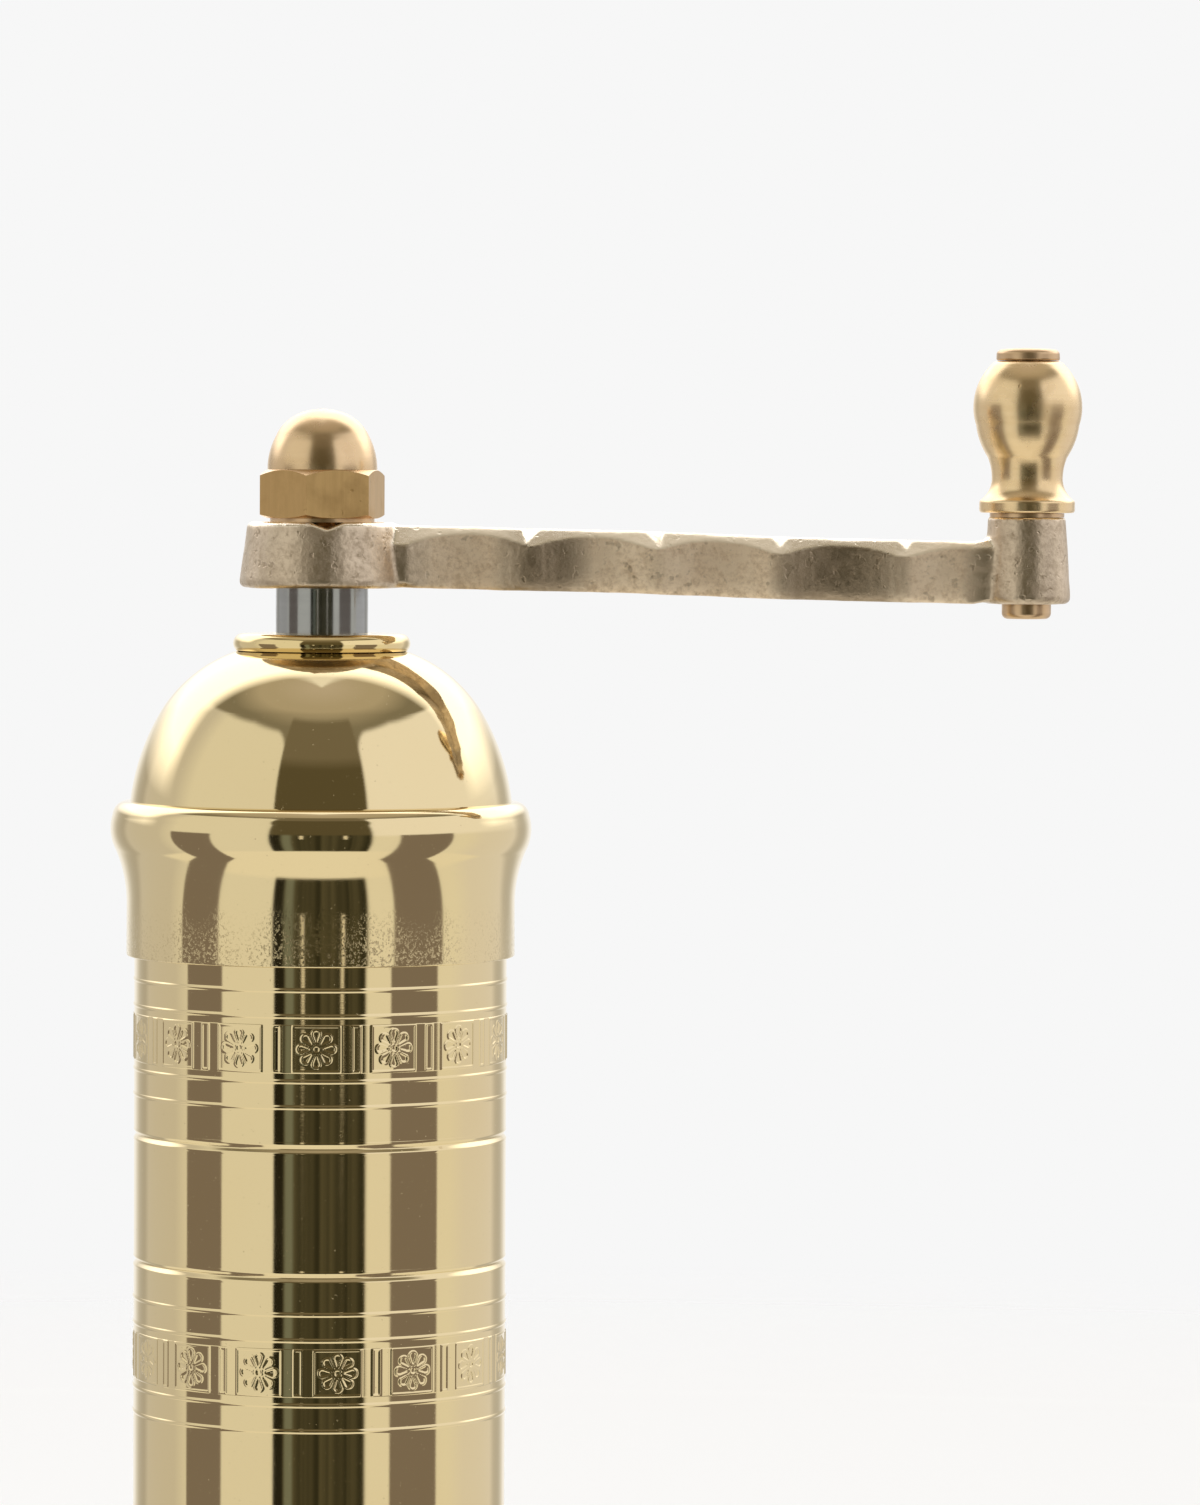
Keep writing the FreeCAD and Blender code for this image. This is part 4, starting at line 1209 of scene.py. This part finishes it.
    def pin(self) -> bpy.types.Object:
        """Build the knob's pin with its riveted head."""
        bottom, top = span("knob_pin")
        boss_top = span("knob_washer")[0]
        head = span("knob")[1] + self.head_gap
        stem = self.stem_radius
        outline = Outline(0.0, bottom)
        outline.line(self.pin_end_radius, bottom)
        outline.bend(bottom, self.pin_edge)
        outline.path((self.pin_radius, boss_top), (stem, boss_top), (stem, head), (self.head_foot, head))
        outline.bend(head, self.rivet_edge)
        outline.line(self.rivet_upper, head + self.rivet_side)
        outline.bend(top, *self.rivet_crown)
        piece = turned_piece("knob_pin_riveted", outline, 96, axis_of("knob_pin"))
        return settle(piece, PIN_BRASS, "knob_pin")

    def build(self) -> None:
        """Build the crank's visible pieces."""
        self.arm()
        self.nut()
        self.knob()
        self.pin()


@dataclass
class Works:
    """The nodes that keep their own shape and only get their finish."""

    finishes: tuple[tuple[Metal, tuple[str, ...]], ...] = (
        (SHELL_BRASS, ("cup_base",)),
        (INNER_BRASS, ("burr_housing", "top_bridge", "top_bush", "lid_bush_ring", "adjusting_screw")),
        (BURR_STEEL, ("outer_burr", "inner_burr")),
        (PLAIN_STEEL, ("burr_screws", "lower_bridge", "bridge_screws", "thrust_ball", "burr_nut",
                       "spring_washer")),
        (SHAFT_STEEL, ("drive_shaft",)),
        (SPRING_STEEL, ("shaft_spring",)),
        (PIN_BRASS, ("crank_washer", "knob_washer")),
    )

    def build(self) -> None:
        """Dress each node."""
        for finish, nodes in self.finishes:
            for node in nodes:
                for place in frame["nodes"][node].material_slots:
                    place.material = finish.material()
                log.info("%s: dressed as %s", node, finish.name)


@dataclass
class Studio:
    """Pale floor, a room of pale screens with a dim gap in front, and the camera."""

    floor_radius: float = 0.95
    floor_fade: float = 0.25
    floor_sides: int = 96
    backdrop: float = 0.93
    left_screen: Colour = (0.86, 0.855, 0.80)
    left_wall: Colour = (0.68, 0.67, 0.66)
    right_screen: Colour = (0.89, 0.88, 0.82)
    right_wall: Colour = (0.84, 0.83, 0.84)
    high_right: Colour = (1.0, 1.0, 1.02)
    back_wall: Colour = (2.1, 2.1, 2.15)
    table: Colour = (0.94, 0.92, 0.84)
    backdrop_glow: Colour = (1.0, 1.0, 1.0)
    facing: float = 2.2
    table_edge: float = -33.0
    panels: tuple[Point, ...] = ((-90.0, -63.0), (44.0, 77.0))
    panel_foot: float = -78.0
    panel_top: float = 4.0
    gap: Point = (-28.5, 27.5)
    gap_top: float = 57.0
    gap_shadow: float = -22.5
    gap_streak: Point = (-21.5, -16.5)
    stands: tuple[Point, ...] = ((-11.8, -9.8), (12.2, 14.2))
    stand_foot: float = -4.5
    stand_top: float = 4.0
    window_edge: float = 28.0
    window_top: float = 49.0
    window_corner: float = 11.0
    window_slope: float = 0.14
    brown: Colour = (0.24, 0.206, 0.186)
    ceiling: Colour = (0.57, 0.52, 0.47)
    lamp_size: float = 0.8
    lamp_power: float = 3.0
    lamp_place: tuple[float, float, float] = (-0.7, -0.5, 1.3)
    image_width: int = 1200
    focal_pixels: float = 7200.0
    distance: float = 0.965
    height: float = 0.2135
    aside: float = 0.03717
    pitch: float = 2.25
    roll: float = 0.29

    def world(self) -> None:
        """Build the room as the metal sees it, and a plain pale ground for the camera."""
        world = bpy.data.worlds.new("studio")
        bpy.context.scene.world = world
        tree = Tree(world)
        across, depth, up = tree.axes(tree.coordinates("Generated"))
        bearing = across.math("ARCTAN2", depth * -1.0) * math.degrees(1.0) - self.facing
        rise = up.math("ARCSINE") * math.degrees(1.0)
        away = bearing.math("ABSOLUTE")
        right = bearing.above(0.0, 4.0)
        outer = away.above(94.0, 14.0)
        lifted = rise.above(3.0, 6.0)
        left_side = tree.mixed(outer, self.left_screen, self.left_wall)
        right_side = tree.mixed(outer, self.right_screen, self.right_wall)
        screens = tree.mixed(right, left_side, tree.mixed(lifted, right_side, self.high_right))
        colour = tree.mixed(self.window(away, rise), self.ceiling_colour(tree, rise), screens)
        colour = tree.mixed(away.above(150.0, 24.0), colour, self.backdrop_glow)
        behind = depth.above(0.30, 0.2) * rise.above(14.0, 14.0) * (1 - rise.above(80.0, 6.0))
        colour = tree.mixed(behind, colour, self.back_wall)
        colour = tree.mixed(1 - rise.above(self.table_edge, 3.0), colour, self.table)
        panels = sum(bearing.between(left, end, 1.2) for left, end in self.panels)
        colour = tree.mixed(panels * rise.between(self.panel_foot, self.panel_top, 1.5), colour, self.brown)
        gap = bearing.between(*self.gap, 0.8) * rise.between(self.table_edge, self.gap_top, 3.0)
        colour = tree.mixed(gap, colour, self.gap_colour(tree, bearing, rise))
        seen = tree.add("ShaderNodeLightPath").outputs["Is Camera Ray"]
        plain = (self.backdrop,) * 3
        colour = tree.mixed(Value(tree, seen), colour, plain)
        ground = tree.add("ShaderNodeBackground", None, {"Color": colour, "Strength": 1.0})
        tree.add("ShaderNodeOutputWorld", None, {"Surface": ground.outputs[0]})

    def window(self, away: Value, rise: Value) -> Value:
        """Mask of the pale screens: two wide windows with round upper corners.

        Args:
            away: Bearing from the front, without its sign, in degrees.
            rise: Angle over the horizon in degrees.

        Returns:
            The mask, 1 on the screens.
        """
        inner = (self.window_edge + self.window_corner - away).math("MAXIMUM", 0.0)
        upper = (rise - (self.window_top - self.window_corner)).math("MAXIMUM", 0.0)
        reach = (inner * inner + upper * upper).math("POWER", 0.5)
        drop = (away - 62.0).math("MAXIMUM", 0.0) * self.window_slope
        return 1 - (reach + drop).above(self.window_corner, 2.5)

    def ceiling_colour(self, tree: Tree, rise: Value) -> bpy.types.NodeSocket:
        """Colour of what hangs over the mill: dim by the screens and paler overhead.

        Args:
            tree: The world's tree.
            rise: Angle over the horizon in degrees.

        Returns:
            The colour.
        """
        low = tree.mixed(rise.above(58.0, 12.0), (0.25, 0.23, 0.18), (0.50, 0.455, 0.375))
        return tree.mixed(rise.above(78.0, 16.0), low, self.ceiling)

    def gap_colour(self, tree: Tree, bearing: Value, rise: Value) -> bpy.types.NodeSocket:
        """Colour of the gap between the screens: dark, with upright streaks, and greyer higher up.

        Args:
            tree: The world's tree.
            bearing: Angle from the front in degrees, positive to the right.
            rise: Angle over the horizon in degrees.

        Returns:
            The colour.
        """
        streaks = tree.add("ShaderNodeTexNoise", {"noise_dimensions": "1D"},
                           {"W": bearing, "Scale": 0.22, "Detail": 2.0}).outputs[0]
        dim = tree.mixed(Value(tree, streaks).above(0.5, 0.3), (0.036, 0.034, 0.019), (0.098, 0.090, 0.055))
        dim = tree.mixed(1 - bearing.above(self.gap_shadow, 1.0), dim, (0.022, 0.020, 0.012))
        dim = tree.mixed(bearing.between(*self.gap_streak, 1.5), dim, (0.20, 0.22, 0.18))
        stands = sum(bearing.between(left, end, 0.5) for left, end in self.stands)
        dim = tree.mixed(stands * rise.between(self.stand_foot, self.stand_top, 0.5), dim, (0.85, 0.80, 0.68))
        dim = tree.mixed(rise.above(5.0, 4.0), dim, (0.115, 0.098, 0.056))
        return tree.mixed(rise.above(34.0, 6.0), dim, (0.20, 0.175, 0.125))

    def floor(self) -> None:
        """Build the floor, which fades out towards its rim."""
        angles = [2 * math.pi * step / self.floor_sides for step in range(self.floor_sides)]
        rim = [(self.floor_radius * math.cos(angle), self.floor_radius * math.sin(angle), 0.0)
               for angle in angles]
        floor = new_piece("floor", rim, [tuple(range(self.floor_sides))])
        floor.location.z = -0.05 * MM
        material = bpy.data.materials.new("pale_floor")
        tree = Tree(material)
        across, depth, _ = tree.axes(tree.coordinates())
        distance = (across * across + depth * depth).math("POWER", 0.5)
        solid = 1 - distance.above(self.floor_radius - self.floor_fade / 2, self.floor_fade)
        surface = tree.add("ShaderNodeBsdfPrincipled", None, {
            "Base Color": (0.835, 0.835, 0.83, 1.0),
            "Roughness": 0.9,
            "Emission Color": (1.0, 1.0, 0.99, 1.0),
            "Emission Strength": 0.03,
            "Alpha": solid,
        })
        tree.add("ShaderNodeOutputMaterial", None, {"Surface": surface.outputs[0]})
        floor.data.materials.append(material)
        floor.visible_glossy = False

    def lamp(self) -> None:
        """Hang one large soft lamp over the left front, for the floor's soft shadow."""
        light = bpy.data.lights.new("soft_lamp", "AREA")
        light.shape = "DISK"
        light.size = self.lamp_size
        light.energy = self.lamp_power
        lamp = bpy.data.objects.new("soft_lamp", light)
        lamp.location = self.lamp_place
        lamp.rotation_euler = (Vector((0, 0, 0.1)) - lamp.location).to_track_quat("-Z", "Y").to_euler()
        lamp.visible_glossy = False
        bpy.context.collection.objects.link(lamp)

    def camera(self) -> None:
        """Place the camera level with the crank, a metre in front and a little to the right."""
        data = bpy.data.cameras.new("camera")
        data.sensor_fit = "HORIZONTAL"
        data.sensor_width = 36.0
        data.lens = 36.0 * self.focal_pixels / self.image_width
        camera = bpy.data.objects.new("camera", data)
        camera.location = (self.aside, -self.distance, self.height)
        camera.rotation_euler = (math.radians(90 - self.pitch), -math.radians(self.roll), 0)
        bpy.context.collection.objects.link(camera)
        bpy.context.scene.camera = camera

    def build(self) -> None:
        """Build the studio."""
        bpy.context.scene.view_settings.view_transform = "Standard"
        self.world()
        self.floor()
        self.lamp()
        self.camera()


def main() -> None:
    """Build every class in order."""
    logging.basicConfig(level=logging.INFO, format="%(name)s: %(message)s")
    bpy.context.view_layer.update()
    cup_rim = span("cup_tube")[1]
    Studio().build()
    body_bands = (cup_rim + BODY_BANDS[0], cup_rim + BODY_BANDS[1])
    BandedTube("upper_tube", *body_bands, turns=BODY_TURNS).build()
    BandedTube("cup_tube", *CUP_BANDS, turns=CUP_TURNS).build()
    Lid().build()
    Foot().build()
    Crank().build()
    Works().build()


if __name__ == "__main__":
    main()
